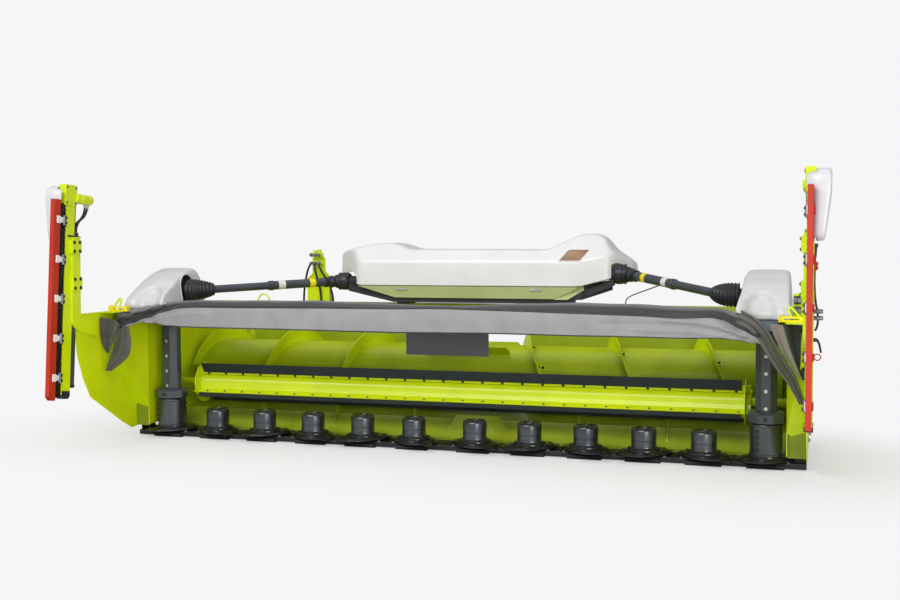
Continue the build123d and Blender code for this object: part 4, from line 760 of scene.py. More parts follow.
# %% Pane, gasket and hinges of the lid
middle = pane_edge.mean(0)
inner = middle + (pane_edge - middle) * 0.985 - pane_out * 0.004
piece("lid_pane", *hull(at(np.concatenate([inner, inner - pane_out * 0.004]))), "tinted pane", body="lid_body")
loop = np.concatenate([evenly(pane_edge[[i, (i + 1) % 4]], 12)[:-1] for i in range(4)])
loop = rounded(loop, 0, 1, 1, ring=True) + pane_out * 0.0005
across = np.roll(loop, -1, 0) - np.roll(loop, 1, 0)
across = np.cross(across / np.linalg.norm(across, axis=1, keepdims=True), pane_out)
angle = (np.arange(10) * math.pi / 5)[None, :, None]
gasket = loop[:, None] + 0.005 * (np.cos(angle) * across[:, None] + np.sin(angle) * pane_out)
surface("lid_gasket", at(gasket), "white moulding", body="lid_body", round_rows=True, round_columns=True)
HINGE_X = (-0.780, 0.780)
barrel = [(-0.040, 0.0), (-0.040, 0.009), (0.040, 0.009), (0.040, 0.0)]
barrels = lathes(barrel, [(x, 1.404, 1.190) for x in HINGE_X], (1, 0, 0), 20)
placed("lid_hinges", barrels, "dark bolt", body="lid_body")
leaves = copies(brick(0.070, 0.018, 0.003, 0.0008), facing(at([(x, 1.398, 1.207) for x in HINGE_X]), (0, 1, 0)))
piece("lid_hinge_leaves", *leaves, "dark bolt", body="lid_body")
print("pane and hinges done")

# %% End covers
COVER_FLOOR, COVER_TOP, COVER_IN, COVER_OUT = 1.037, 1.345, 2.130, 2.478
COVER_HIGH = COVER_TOP - COVER_FLOOR
COVER_LINE = np.array([(-0.392, COVER_FLOOR), (-0.398, 1.076), (-0.368, 1.128), (-0.284, 1.187),
                       (-0.152, 1.263), (-0.012, 1.319), (0.108, COVER_TOP), (0.170, 1.339), (0.210, 1.297),
                       (0.228, 1.215), (0.228, COVER_FLOOR)])
ARCH_X, ARCH_HALF, ARCH_REACH = 2.285, 0.100, 0.235
MOUTH_Z, MOUTH_RADIUS = 1.198, 0.104


def cover_surface(stations=36, around=130, wall_rows=22):
    """The side outline carried from the inner to the outer wall, drawn in towards the top, with an arched
    recess in front; the inner front corner is lifted to clear the cloth."""
    line = evenly(COVER_LINE, around)
    share = np.linspace(0.0, 1.0, stations)[:, None]
    height = (line[:, 1] - COVER_FLOOR) / COVER_HIGH
    inner, outer = COVER_IN + 0.045 * height, COVER_OUT - 0.016 * height
    x = inner + (outer - inner) * share
    grid = np.stack([x, np.broadcast_to(line[:, 0], x.shape), np.broadcast_to(line[:, 1], x.shape)], -1)
    grid[:, :, 2] += 0.008 * (1 - (2 * share - 1) ** 2) * np.clip(height * 3, 0, 1)
    run = np.concatenate([[0.0], np.cumsum(np.linalg.norm(np.diff(line, axis=0), axis=1))])
    arch = ARCH_REACH * np.sqrt(np.clip(1 - ((x - ARCH_X) / ARCH_HALF) ** 2, 0, 1))
    inside = np.clip((arch - run) / 0.015, 0, 1) * np.clip((ARCH_HALF - np.abs(x - ARCH_X)) / 0.016, 0, 1)
    grid[:, :, 1] += 0.045 * inside
    grid[:, :, 2] -= 0.018 * inside * np.clip(run / 0.08, 0, 1)
    inner_wall, outer_wall = (end_wall(edge, COVER_FLOOR, wall_rows, widen / COVER_HIGH)
                              for edge, widen in ((grid[0], -0.045), (grid[-1], 0.016)))
    grid = rounded(rounded(np.concatenate([inner_wall[::-1], grid, outer_wall]), 0, 2, 2), 1, 2, 2)
    lift = 0.050 * np.clip((2.28 - grid[:, :, 0]) / 0.16, 0, 1) * np.clip((-0.20 - grid[:, :, 1]) / 0.08, 0, 1)
    grid[:, :, 2] += lift * np.clip((1.22 - grid[:, :, 2]) / 0.183, 0, 1)
    return grid


arc = np.linspace(0, math.pi, 40)
mouth = MOUTH_RADIUS * circle(arc) + [0.0, MOUTH_Z]
mouth = np.concatenate([[(MOUTH_RADIUS, 1.050)], mouth, [(-MOUTH_RADIUS, 1.050)]])
mouth_x = COVER_IN + 0.045 * (mouth[:, 1] - COVER_FLOOR) / COVER_HIGH + 0.001
# The end covers wear the darker white, painted shade.
for side, name in SIDES:
    cover = surface(f"end_cover_{name}", at(cover_surface() * [side, 1, 1]), "white moulding in painted shade", wall=0.005,
                    smooth=55.0, replaces=("end_covers",) if side > 0 else ())
    carve(cover, tunnel(side * 2.05, side * 2.235, 0.0, 0.95, MOUTH_Z, 0.100))
    lip = swept(np.column_stack([side * mouth_x, mouth]), 0.0055, 10)
    skin(f"cover_lip_{name}", lip, "white moulding in painted shade", closed=False)
print("end covers done")

# %% Covers of the knife drives
KNIFE_TURN = math.radians(4.7)
KNIFE_FOOT = np.array([2.597, -1.012, 0.425])


def leaned(points, side=1):
    """Knife pieces are laid out upright, then leaned to the rear on their foot; the left one is mirrored."""
    c, s = math.cos(KNIFE_TURN), math.sin(KNIFE_TURN)
    points = np.asarray(points, float) @ np.array([[1, 0, 0], [0, c, -s], [0, s, c]]) + KNIFE_FOOT
    return at(points * [side, 1, 1])


def pillow(outline, levels, centre):
    """Rings of an outline drawn in towards a centre: each level is (share drawn in, height)."""
    levels = np.asarray(levels, float)
    ring = centre + (outline[None] - centre) * (1 - levels[:, 0, None, None])
    return ring, levels[:, 1]


top, low = 1.552, 1.122
cover_ring = np.array([(-0.118, low + 0.075), (-0.118, top - 0.046), (-0.072, top), (0.085, top),
                       (0.132, top - 0.055), (0.120, 1.350), (0.030, low + 0.010), (0.000, low), (-0.090, low),
                       (-0.118, low + 0.030), (-0.118, low + 0.075)])
cover_ring = rounded(evenly(cover_ring, 181)[:-1], 0, 3, 3, ring=True)
levels = [(0.0, 0.0), (0.0, 0.030), (0.0, 0.062), (0.006, 0.074), (0.024, 0.084), (0.06, 0.090), (0.12, 0.093),
          (0.3, 0.0945), (0.6, 0.096), (1.0, 0.0965)]
ring, height = pillow(cover_ring, levels, np.array([0.0, 1.34]))
deep = np.interp(ring[:, :, 1], [low, low + 0.28, top], [0.56, 0.94, 1.0])
cover_grid = np.stack([0.0305 + height[:, None] * deep * 0.955, ring[:, :, 0], ring[:, :, 1]], -1)
front = np.clip((-0.096 - cover_grid[0, :, 1]) / 0.012, 0, 1)
cover_grid[0, :, 0] -= front * (0.012 + 0.043 * np.clip((cover_grid[0, :, 2] - 1.425) / 0.015, 0, 1))
# The knife covers wear the darker white, painted shade.
for side, name in SIDES:
    surface(f"knife_cover_{name}", leaned(cover_grid, side), "white moulding in painted shade", round_columns=True, wall=0.004,
            smooth=50.0, replaces=("knife_covers",) if side > 0 else ())
print("knife covers done")

# %% [markdown]
# ## The cloth
# A heavy coated cloth hangs over the front as a guard against flung stones. It runs over a crest,
# turns down at a welded edge and ends in a hem; at both ends it is unhooked, so it crumples
# across the deck's corner and hangs down. The sheet is lofted through cross-sections measured
# along the mower. Its folds are ridges whose height falls away with distance from a line. The cut
# map holds metres along the cloth and the share across it, so the weave and the painted bands of
# light and shade follow the sheet: a darker top, a dark band of painted shade along the welded
# edge, the same dark tone at the hem, and a lighter front.

# %% Cloth finish
def cloth_finish(name, top, edge, front):
    """Grey coated cloth: bands of painted light and shade by the share across it, a plain weave in metres, and
    soft scuffs.
    """
    material, tree, shader = new_material(name)
    cut = add_node(tree, "UVMap", uv_map="cut").outputs["UV"]
    apart = add_node(tree, "SeparateXYZ", {"Vector": cut})
    band = add_node(tree, "ValToRGB", {"Fac": apart.outputs["Y"]})
    # The top, the front, and a dark band along the welded edge and at the hem are tones of one cloth: painted
    # light and shade.
    light_and_shade_stops = [(0.0, top), (0.36, top), (0.43, edge), (0.575, edge), (0.592, front), (0.972, front),
             (0.985, edge), (1.0, edge)]
    ends = band.color_ramp.elements
    for stop, (position, colour) in ((ends[0], light_and_shade_stops[0]), (ends[1], light_and_shade_stops[-1])):
        stop.position, stop.color = position, linear(colour)
    for position, colour in light_and_shade_stops[1:-1]:
        ends.new(position).color = linear(colour)
    place = add_node(tree, "TexCoord").outputs["Object"]
    stain = add_node(tree, "TexNoise", {"Scale": 5.0, "Detail": 5.0, "Vector": place})
    shift = add_node(tree, "MapRange", {"From Min": 0.3, "From Max": 0.7, "To Min": 0.86, "To Max": 1.08,
                                        "Value": stain.outputs["Fac"]})
    tone = add_node(tree, "Mix", data_type="RGBA", blend_type="MULTIPLY")
    feed(tree, tone, {"Factor": 1.0, 6: band.outputs["Color"], 7: shift.outputs["Result"]})
    weave = add_node(tree, "Mapping", {"Scale": (1.0, 0.75, 1.0), "Vector": cut}).outputs["Vector"]
    threads = [add_node(tree, "TexWave", {"Scale": 170.0, "Vector": weave}, bands_direction=direction)
               for direction in ("X", "Y")]
    woven = add_node(tree, "Math", {0: threads[0].outputs["Fac"], 1: threads[1].outputs["Fac"]},
                     operation="MAXIMUM")
    relief = add_node(tree, "Bump", {"Strength": 0.16, "Distance": 0.0008, "Height": woven.outputs["Value"]})
    crease = add_node(tree, "TexNoise", {"Scale": 22.0, "Detail": 4.0, "Vector": place})
    soft = add_node(tree, "Bump", {"Strength": 0.30, "Distance": 0.006, "Height": crease.outputs["Fac"],
                                   "Normal": relief.outputs["Normal"]})
    feed(tree, shader, {"Base Color": tone.outputs[2], "Normal": soft.outputs["Normal"], "Roughness": 0.62,
                        "Sheen Weight": 0.12})
    FINISH[name] = (material, "grey_cloth")


# Each cloth's top, dark band and front tones are painted light and shade.
cloth_finish("front cloth", "#737375", "#29292b", "#949496")
cloth_finish("drop cloth", "#4a4a42", "#45453e", "#4d4c45")
cloth_finish("rope cloth", "#63635f", "#55554f", "#6b6b67")
cloth_finish("corner cloth", "#8b857b", "#26272a", "#1d1e21")
print("cloth finishes ready")

# %% Loft of the front cloth
# each row: x, then (y, z) of the rear edge, the crest, the welded edge, the middle of the front and the hem
SECTIONS = np.array([
    (-2.505, -0.425, 1.046, -0.452, 1.015, -0.476, 0.885, -0.470, 0.878, -0.464, 0.872),
    (-2.420, -0.410, 1.054, -0.446, 1.036, -0.470, 0.922, -0.462, 0.916, -0.455, 0.911),
    (-2.364, -0.406, 1.055, -0.440, 1.042, -0.464, 0.946, -0.455, 0.939, -0.449, 0.934),
    (-2.270, -0.404, 1.056, -0.430, 1.062, -0.454, 0.972, -0.442, 0.962, -0.432, 0.954),
    (-2.190, -0.402, 1.062, -0.418, 1.084, -0.440, 1.002, -0.425, 0.962, -0.402, 0.930),
    (-2.105, -0.330, 1.078, -0.330, 1.104, -0.410, 1.040, -0.400, 0.980, -0.378, 0.915),
    (-2.025, -0.020, 1.044, -0.150, 1.106, -0.365, 1.060, -0.368, 0.990, -0.346, 0.907),
    (-1.900, 0.100, 1.040, -0.110, 1.109, -0.327, 1.067, -0.332, 0.985, -0.320, 0.902),
    (-1.600, 0.110, 1.039, -0.108, 1.110, -0.318, 1.066, -0.326, 0.983, -0.318, 0.901),
    (-0.854, 0.110, 1.039, -0.110, 1.111, -0.318, 1.074, -0.324, 0.985, -0.318, 0.898),
    (-0.300, 0.110, 1.039, -0.112, 1.098, -0.318, 1.076, -0.326, 0.985, -0.318, 0.893),
    (0.050, 0.110, 1.039, -0.116, 1.076, -0.316, 1.085, -0.328, 0.990, -0.318, 0.898),
    (0.400, 0.110, 1.039, -0.112, 1.099, -0.318, 1.077, -0.326, 0.988, -0.318, 0.902),
    (0.700, 0.110, 1.039, -0.108, 1.120, -0.318, 1.070, -0.326, 0.984, -0.318, 0.901),
    (1.050, 0.110, 1.039, -0.106, 1.124, -0.318, 1.061, -0.324, 0.980, -0.318, 0.899),
    (1.500, 0.110, 1.039, -0.108, 1.114, -0.318, 1.051, -0.325, 0.975, -0.318, 0.899),
    (1.767, 0.105, 1.040, -0.110, 1.106, -0.325, 1.036, -0.334, 0.968, -0.322, 0.897),
    (1.900, 0.080, 1.041, -0.130, 1.104, -0.350, 1.048, -0.360, 0.975, -0.342, 0.903),
    (2.030, -0.080, 1.046, -0.230, 1.106, -0.385, 1.052, -0.378, 0.968, -0.362, 0.908),
    (2.105, -0.330, 1.078, -0.345, 1.096, -0.408, 1.020, -0.396, 0.950, -0.378, 0.905),
    (2.160, -0.404, 1.064, -0.418, 1.070, -0.428, 0.980, -0.420, 0.935, -0.398, 0.898),
    (2.235, -0.410, 1.042, -0.426, 1.036, -0.440, 0.950, -0.434, 0.920, -0.416, 0.892),
    (2.290, -0.416, 0.995, -0.432, 0.985, -0.446, 0.925, -0.442, 0.905, -0.428, 0.880),
])
WELDED_EDGE = 0.585
ACROSS = np.array([0.0, 0.30, WELDED_EDGE, 0.80, 1.0])  # share across the cloth of each of these five lines


def ridge(x, z, line, width, height):
    """A fold along a line of (x, z): height exp(-(distance / width)^2), faded at its ends."""
    line = np.asarray(line, float)
    off = z - np.interp(x, line[:, 0], line[:, 1])
    fade = np.clip((x - line[0, 0]) / 0.05, 0, 1) * np.clip((line[-1, 0] - x) / 0.05, 0, 1)
    return height * fade * np.exp(-(off / width) ** 2)


def loft(sections, shares, columns, rows, reach_u=5, reach_v=3):
    """Cross-sections joined by straight lines both ways, then rounded both ways: (columns, rows, 3)."""
    x = np.linspace(sections[0, 0], sections[-1, 0], columns)
    places = np.stack([np.interp(x, sections[:, 0], column) for column in sections[:, 1:].T], -1)
    places = places.reshape(columns, -1, 2)
    v = np.linspace(0.0, 1.0, rows)
    y = np.stack([np.interp(v, shares, row) for row in places[:, :, 0]])
    z = np.stack([np.interp(v, shares, row) for row in places[:, :, 1]])
    grid = np.stack([np.broadcast_to(x[:, None], y.shape), y, z], -1)
    return rounded(rounded(grid, 0, reach_u, 3), 1, reach_v, 2), v


cloth, share = loft(SECTIONS, ACROSS, 620, 84)
x, y, z = cloth[:, :, 0], cloth[:, :, 1], cloth[:, :, 2]
front = np.clip((share - 0.55) / 0.2, 0, 1)[None, :]
middle = np.clip((2.2 - np.abs(x)) / 0.25, 0, 1)
ripple = (0.0045 * np.sin(7.3 * x + 0.6) + 0.0030 * np.sin(15.1 * x + 2.0 + 3.0 * share)
          + 0.0016 * np.sin(33.0 * x + 5.0 * share))
y = y - ripple * front * middle
sag = 0.0035 * np.sin(5.1 * x + 1.0) + 0.0022 * np.sin(12.7 * x + 4.0 * share)
z = z + sag * np.clip(1 - np.abs(share - 0.3) / 0.28, 0, 1)[None, :] * middle
FOLDS = [  # (x, z) along the fold, its width and its height
    ([(1.50, 1.062), (1.90, 1.060), (2.02, 1.040), (2.09, 0.990), (2.20, 0.935)], 0.012, 0.016),
    ([(1.60, 1.022), (1.90, 1.010), (2.03, 0.985), (2.14, 0.948), (2.24, 0.925)], 0.014, -0.014),
    ([(1.20, 0.985), (1.55, 0.990), (1.90, 0.975), (2.06, 0.945), (2.20, 0.915)], 0.020, 0.010),
    ([(1.40, 0.950), (1.85, 0.945), (2.05, 0.925), (2.20, 0.902)], 0.014, -0.008),
    ([(-2.48, 1.030), (-2.33, 1.000), (-2.20, 1.045), (-2.06, 1.090)], 0.011, 0.016),
    ([(-2.50, 0.990), (-2.38, 0.975), (-2.25, 1.015), (-2.12, 1.070)], 0.009, -0.018),
    ([(-2.46, 0.955), (-2.33, 0.985), (-2.21, 1.020), (-2.10, 1.060)], 0.008, 0.012),
    ([(-2.45, 1.045), (-2.36, 1.020), (-2.28, 1.035), (-2.20, 1.075)], 0.008, -0.012),
    ([(-2.15, 0.985), (-1.95, 1.010), (-1.60, 1.030), (-1.20, 1.040)], 0.020, -0.006),
]
y = y + sum(ridge(x, z, *fold) for fold in FOLDS)
wrinkle = np.clip((np.abs(x) - 1.95) / 0.25, 0, 1)
y = y + wrinkle * (0.005 * np.sin(38 * x + 30 * z) + 0.003 * np.sin(71 * x - 47 * z + 1.3))
z = z + wrinkle * 0.004 * np.sin(52 * x + 21 * share + 0.7)
cloth = np.stack([x, y, z], -1)


def cloth_piece(name, grid, paint, flat, replaces=()):
    """A sheet with its cut map and thickness; prints its flat size beside its area."""
    rows = np.linalg.norm(np.diff(grid, axis=0), axis=2).mean(1)
    along = np.concatenate([[0.0], np.cumsum(rows)])
    share = np.linspace(0.0, 1.0, grid.shape[1])
    uv = np.stack(np.broadcast_arrays(along[:, None], share[None, :]), -1)
    thing = surface(name, at(grid), paint, smooth=70.0, closed=False, replaces=replaces, uv=uv)
    down, right = grid[1:, :-1] - grid[:-1, :-1], grid[:-1, 1:] - grid[:-1, :-1]
    area = float(np.linalg.norm(np.cross(down, right), axis=2).sum())
    shell = thing.modifiers.new("cloth", "SOLIDIFY")
    shell.thickness, shell.offset = 0.0026, 0.0
    print(name, "is", round(along[-1], 3), "m long, area", round(area, 3), "m2, declared",
          round(flat[0] * flat[1], 3))


cloth_piece("front_cloth", cloth, "front cloth", (4.86, 0.545),
            replaces=("front_apron",))
bead = cloth[:, round(WELDED_EDGE * (cloth.shape[1] - 1))] + [0, -0.004, 0.002]
skin("cloth_bead", swept(bead[::3], 0.0065, 10), "black guard", closed=False)
print("front cloth lofted")

# %% Ends of the cloth
def fan(left, right, rows, columns, depth, folds):
    """A hanging lobe between two edge lines, pushed out by depth sin and by folds of cosines."""
    a, b = rounded(evenly(left, rows), 0, 3), rounded(evenly(right, rows), 0, 3)
    u = np.linspace(0.0, 1.0, columns)[None, :, None]
    grid = a[:, None] + (b - a)[:, None] * u
    v = np.linspace(0.0, 1.0, rows)[:, None]
    u = u[..., 0]
    push = depth * np.sin(math.pi * u) * (0.4 + 0.6 * v)
    for count, size, phase in folds:
        push = push + size * np.cos(count * 2 * math.pi * u + phase + 1.5 * v) * np.clip(1.6 - v, 0.3, 1)
    grid[:, :, 1] -= push
    return np.swapaxes(grid, 0, 1)


lobe = fan([(-2.475, -0.468, 0.930), (-2.488, -0.478, 0.850), (-2.518, -0.500, 0.735), (-2.556, -0.520, 0.620),
            (-2.566, -0.525, 0.582)],
           [(-2.405, -0.462, 0.925), (-2.382, -0.470, 0.850), (-2.366, -0.480, 0.780), (-2.376, -0.490, 0.692),
            (-2.425, -0.505, 0.640), (-2.520, -0.520, 0.574)],
           60, 60, 0.030, [(1.5, 0.010, 0.4), (3.0, 0.004, 1.0)])
cloth_piece("cloth_drop_left", lobe, "drop cloth", (0.37, 0.148))
flap = fan([(-2.570, -0.566, 0.990), (-2.571, -0.570, 0.900), (-2.571, -0.572, 0.830), (-2.562, -0.556, 0.760),
            (-2.545, -0.536, 0.712)],
           [(-2.470, -0.462, 0.945), (-2.482, -0.474, 0.880), (-2.500, -0.492, 0.820), (-2.520, -0.508, 0.765),
            (-2.536, -0.520, 0.716)],
           50, 50, -0.014, [(1.0, 0.016, 0.2), (2.5, 0.004, 2.0)])
cloth_piece("cloth_corner_left", flap, "drop cloth", (0.29, 0.11))

ROPE_ROWS = 130
line = [(2.150, -0.405, 1.052), (2.235, -0.430, 1.015), (2.290, -0.436, 0.965), (2.355, -0.440, 0.860),
        (2.415, -0.440, 0.755), (2.480, -0.436, 0.670), (2.520, -0.430, 0.585), (2.552, -0.424, 0.505)]
line = rounded(evenly(line, ROPE_ROWS), 0, 6)
way = np.gradient(line, axis=0)
way /= np.linalg.norm(way, axis=1, keepdims=True)
wide = np.cross(way, [0.0, 1.0, 0.0])
share = np.linspace(0.0, 1.0, ROPE_ROWS)[:, None]
width = np.interp(share, [0.0, 0.15, 0.4, 0.7, 1.0], [0.105, 0.098, 0.086, 0.076, 0.036])
u = np.linspace(0.0, 1.0, 64)[None, :]
fold = 0.016 * np.cos(2.5 * 2 * math.pi * u + 2.2 * share) + 0.006 * np.sin(5 * 2 * math.pi * u + 5 * share)
rope = line[:, None] + wide[:, None] * (width * (u - 0.5))[..., None]
rope[:, :, 1] += fold * 0.8 + 0.030 * (2 * u - 1) ** 2 - 0.008
cloth_piece("cloth_rope_right", rope, "rope cloth", (0.75, 0.177))
drop = fan([(2.345, -0.408, 1.012), (2.372, -0.410, 0.940), (2.405, -0.412, 0.868), (2.452, -0.414, 0.790),
            (2.505, -0.416, 0.708), (2.545, -0.416, 0.660)],
           [(2.562, -0.440, 1.012), (2.566, -0.430, 0.940), (2.566, -0.420, 0.860), (2.567, -0.418, 0.780),
            (2.568, -0.416, 0.700), (2.568, -0.416, 0.655)],
           70, 60, 0.006, [(1.5, 0.009, 2.4), (3.5, 0.003, 1.0)])
cloth_piece("cloth_corner_right", np.swapaxes(drop, 0, 1), "corner cloth", (0.40, 0.141))

# %% [markdown]
# ## Upright knives
# At each side stands a knife that parts tangled crop: a black bar with small blades, a red guard
# over its edge, a lime beam behind it and a hydraulic motor at the top. White clips hold the guard,
# and dark knuckles tie the bar to the beam. Small parts of one kind are a single mesh: one solid
# is repeated at many places by one matrix product.

# %% Knife blades, clips and caps
CLIP_Z = np.array([0.129, 0.415, 0.701, 0.987, 1.273])
TOOTH_Z = np.arange(0.045, 1.380, 0.0508)
DARK_KNUCKLES = [(z + dz) for z in CLIP_Z for dz in (0.003, 0.041)]


def slab(x0, x1, outline):
    """A convex outline of (y, z) drawn out along X."""
    return hull(np.array([(x, y, z) for x in (x0, x1) for y, z in outline]))


def leaned_solid(solid, side):
    """A knife's (points, faces) put in its place on one side."""
    return leaned(solid[0], side), solid[1]


tooth = slab(-0.0175, -0.0135, ((-0.052, -0.022), (-0.052, 0.022), (-0.098, 0.019), (-0.112, 0.006),
                                (-0.112, -0.006), (-0.098, -0.019)))
teeth = copies(tooth, [np.column_stack([np.eye(3), (0.0, 0.0, z)]) for z in TOOTH_Z])
rivets = [(-0.0175, -0.066, z + dz) for dz in (-0.011, 0.011) for z in TOOTH_Z]
rivets = bolted(0.0040, 0.0030, rivets, (-1, 0, 0))
clips = join(*[boxes(((-0.0235, -0.150, z - 0.004), (-0.0115, -0.110, z + 0.050), 0.003),
                     ((-0.0210, -0.112, z + 0.004), (-0.0185, -0.048, z + 0.042), 0.001)) for z in CLIP_Z])
knuckle = np.array([(-0.019, 0.0), (-0.019, 0.0165), (-0.0155, 0.0190), (0.0155, 0.0190), (0.019, 0.0165),
                    (0.019, 0.0)])
knuckles = lathes(knuckle * 0.92, [(-0.0165, -0.064, z) for z in DARK_KNUCKLES], (0, 0, 1), 18)
knuckle_bolts = [(-0.0335, -0.064, z) for z in DARK_KNUCKLES]
knuckle_bolts = bolted(0.0075, 0.0060, knuckle_bolts, (-1, 0, 0))
foot = slab(-0.027, 0.027, ((-0.046, 0.055), (-0.046, 0.018), (-0.030, -0.004), (0.026, -0.006), (0.044, 0.014),
                            (0.044, 0.050)))
strap = boxes(((-0.0290, -0.030, 1.180), (-0.0240, 0.116, 1.192), 0.001),
              ((-0.0320, 0.050, 1.176), (-0.0240, 0.066, 1.200), 0.002),
              ((-0.0175, 0.046, 0.072), (0.0175, 0.113, 0.094), 0.004))
bar_caps = boxes(((-0.014, -0.120, 0.006), (0.014, -0.050, 0.024), 0.003),
                 ((-0.014, -0.120, 1.404), (0.014, -0.050, 1.420), 0.003))
KNIFE_PARTS = {"blades": (join(teeth, rivets), "knife steel"), "clips": (clips, "white clip"),
               "knuckles": (knuckles, "dull bolt"), "knuckle_bolts": (knuckle_bolts, "dark bolt"),
               "foot": (foot, "black guard"), "strap": (strap, "dark bolt"),
               "bar_caps": (bar_caps, "knife steel")}
for side, name in SIDES:
    for label, (solid, paint) in KNIFE_PARTS.items():
        piece(f"knife_{label}_{name}", *leaned_solid(solid, side), paint)
print("knife blades", len(TOOTH_Z), "each side")

# %% Knife motor, clamps and their bolts
PORTS = ((-0.022, 0.120, 0.232), (-0.004, 0.170, 0.254))  # x, distance behind the beam, length of its hose
PORT_Y, HOSE_RADIUS = 0.048, 0.009
motor_rings = [(0.0, 0.0), (0.0, 0.030), (0.004, 0.0375), (0.020, 0.0375), (0.022, 0.0355), (0.060, 0.0355),
               (0.062, 0.0375), (0.070, 0.0375), (0.072, 0.0355), (0.150, 0.0355), (0.152, 0.0385),
               (0.176, 0.0385), (0.186, 0.032), (0.186, 0.0)]
motor = turned(motor_rings, (-0.014, 0.049, 1.470), (0, 1, 0), 36)
head_bolts = [(-0.032, y, z) for y in (-0.058, 0.044) for z in (1.428, 1.540)]
head_bolts = bolted(0.0075, 0.006, head_bolts, (-1, 0, 0))
port = [(0.0, 0.0), (0.0, 0.0095), (0.008, 0.0105), (0.010, 0.0125), (0.022, 0.0125), (0.024, 0.0100),
        (0.044, 0.0095), (0.044, 0.0)]
ports = lathes(port, [(x, PORT_Y + back, 1.4385) for x, back, _ in PORTS], (0, 0, -1), 20)
for side, name in SIDES:
    surface(f"knife_motor_{name}", leaned(motor, side), "lime paint", round_columns=True)
    piece(f"knife_head_bolts_{name}", *leaned_solid(head_bolts, side), "dull bolt")
    piece(f"knife_ports_{name}", *leaned_solid(ports, side), "bright zinc")
arm_bolts = [(2.5435, -0.932 + dy, z + dz) for z in (1.210, 1.480) for dy in (0.024, 0.088)
             for dz in (0.016, 0.080)]
placed("arm_bolts", both(bolted(0.0095, 0.0075, arm_bolts, (-1, 0, 0))), "dark bolt")
print("knife motors done")

# %% [markdown]
# ## Hoses
# Each motor is fed through two hoses that leave it downwards and dive into the duct, and a row of
# hoses bends over the plate beside the lid. A hose is a curve: a smooth spline whose control points
# are the route, with a round section. The spline never kinks, because it only leans towards them.

# %% Hose curves
def hose(name, points, radius):
    """A smooth spline with the route's points as its control points and a round section."""
    data = bpy.data.curves.new(name, "CURVE")
    data.dimensions, data.bevel_depth, data.bevel_resolution, data.resolution_u = "3D", radius, 5, 24
    data.use_fill_caps = True
    line = data.splines.new("NURBS")
    line.points.add(len(points) - 1)
    line.points.foreach_set("co", np.column_stack([points, np.ones(len(points))]).ravel())
    line.order_u = 3
    line.use_endpoint_u = True
    thing = bpy.data.objects.new(name, data)
    bpy.context.scene.collection.objects.link(thing)
    data.materials.append(FINISH["hose rubber"][0])
    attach(thing, MOWER)
    return thing


for side, name in SIDES:
    for number, (x, back, length) in enumerate(PORTS, 1):
        route = [(x, PORT_Y + back, 1.434), (x, PORT_Y + back, 1.360), (x + 0.009, 0.079, 1.280),
                 (x + 0.009, 0.079, 1.220)]
        thing = hose(f"knife_hose_{name}_{number}", leaned(route, side), HOSE_RADIUS)
        if side > 0 and number == 1:
            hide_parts("knife_hoses")
FRAME_HOSES = ((-1.565, -0.100, 0.400), (-1.530, 0.030, 0.375), (-1.495, 0.110, 0.404))  # x, sideways, length
for number, (x, swing, length) in enumerate(FRAME_HOSES, 1):
    route = [(x, 1.092044, 1.370), (x, 1.016044, 1.370), (x + swing, 1.120044, 1.140),
             (x + swing, 1.120044, 1.030)]
    thing = hose(f"frame_hose_{number}", at(route), HOSE_RADIUS)
    if number == 1:
        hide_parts("frame_hoses")
print("hoses laid")

# %% [markdown]
# ## Bolts, hooks and slots
# What makes a machine look real at this size is its regular small hardware: the bolt rows of the
# paddles, columns and frames, the hooks for the cloth and the punched slots. Every row is one mesh.

# %% Bolt rows of the rotor and the columns
PADDLE_AXIS = np.array([0.0, 0.270, 0.410])
WING_TURNS = (28.0, 118.0, 208.0, 298.0)
COLUMN_X, COLLAR_RADIUS = 2.3135, 0.1195
row_x = np.linspace(-2.10, 2.10, 28)


def on_wing(x, radius, height, turn):
    """Points on a paddle wing: out by radius, up by height, turned about the rotor's axis."""
    a = math.radians(turn)
    y, z = radius * math.cos(a) - height * math.sin(a), radius * math.sin(a) + height * math.cos(a)
    return np.column_stack([x, np.full(len(x), y), np.full(len(x), z)]) + PADDLE_AXIS


dark, light = [], []
for turn in WING_TURNS:
    up = np.array([0.0, -math.sin(math.radians(turn)), math.cos(math.radians(turn))])
    dark.append(bolted(0.0075, 0.0060, at(on_wing(row_x, 0.0900, 0.0062, turn)), up))
    light.append(bolted(0.0070, 0.0055, at(on_wing(row_x + 0.02, 0.1260, -0.0002, turn)), -up))
    dark.append(bolted(0.0065, 0.0050, at(on_wing(row_x, 0.1260, 0.0160, turn)), up))
piece("paddle_bolts", *join(*dark), "dark bolt", body="paddle_body")
piece("paddle_nuts", *join(*light), "dull bolt", body="paddle_body")
column = [(COLUMN_X, -0.0715, z) for z in (0.769, 0.650, 0.531, 0.412)]
head = [(COLUMN_X + dx, -0.0825, z) for dx in (-0.055, 0.055) for z in (0.955, 1.008)]
bolts = join(bolted(0.0085, 0.0050, column, (0, -1, 0)),
             bolted(0.0090, 0.0070, head, (0, -1, 0)))
placed("column_bolts", both(bolts), "bright zinc")
collar_way = np.array([(math.cos(a), math.sin(a), 0.0) for a in np.radians([-90, 0, 90, 180])])
collar = collar_way * COLLAR_RADIUS + [COLUMN_X, 0.0, 0.345]
placed("collar_bolts", both(bolted(0.0100, 0.0080, collar, collar_way)), "dark bolt")
bar = [(x + dx, -0.048, 0.046) for x in DISC_X for dx in (-0.15, 0.15) if abs(x + dx) < 2.56]
piece("bar_bolts", *bolted(0.0095, 0.0080, at(bar), (0, 0, 1)), "dull bolt")
seam = [(x, 0.155, 0.046) for x in np.arange(-2.5, 2.51, 0.1)]
piece("trough_edge_bolts", *bolted(0.0060, 0.0050, at(seam), (0, 0, 1)), "dull bolt")
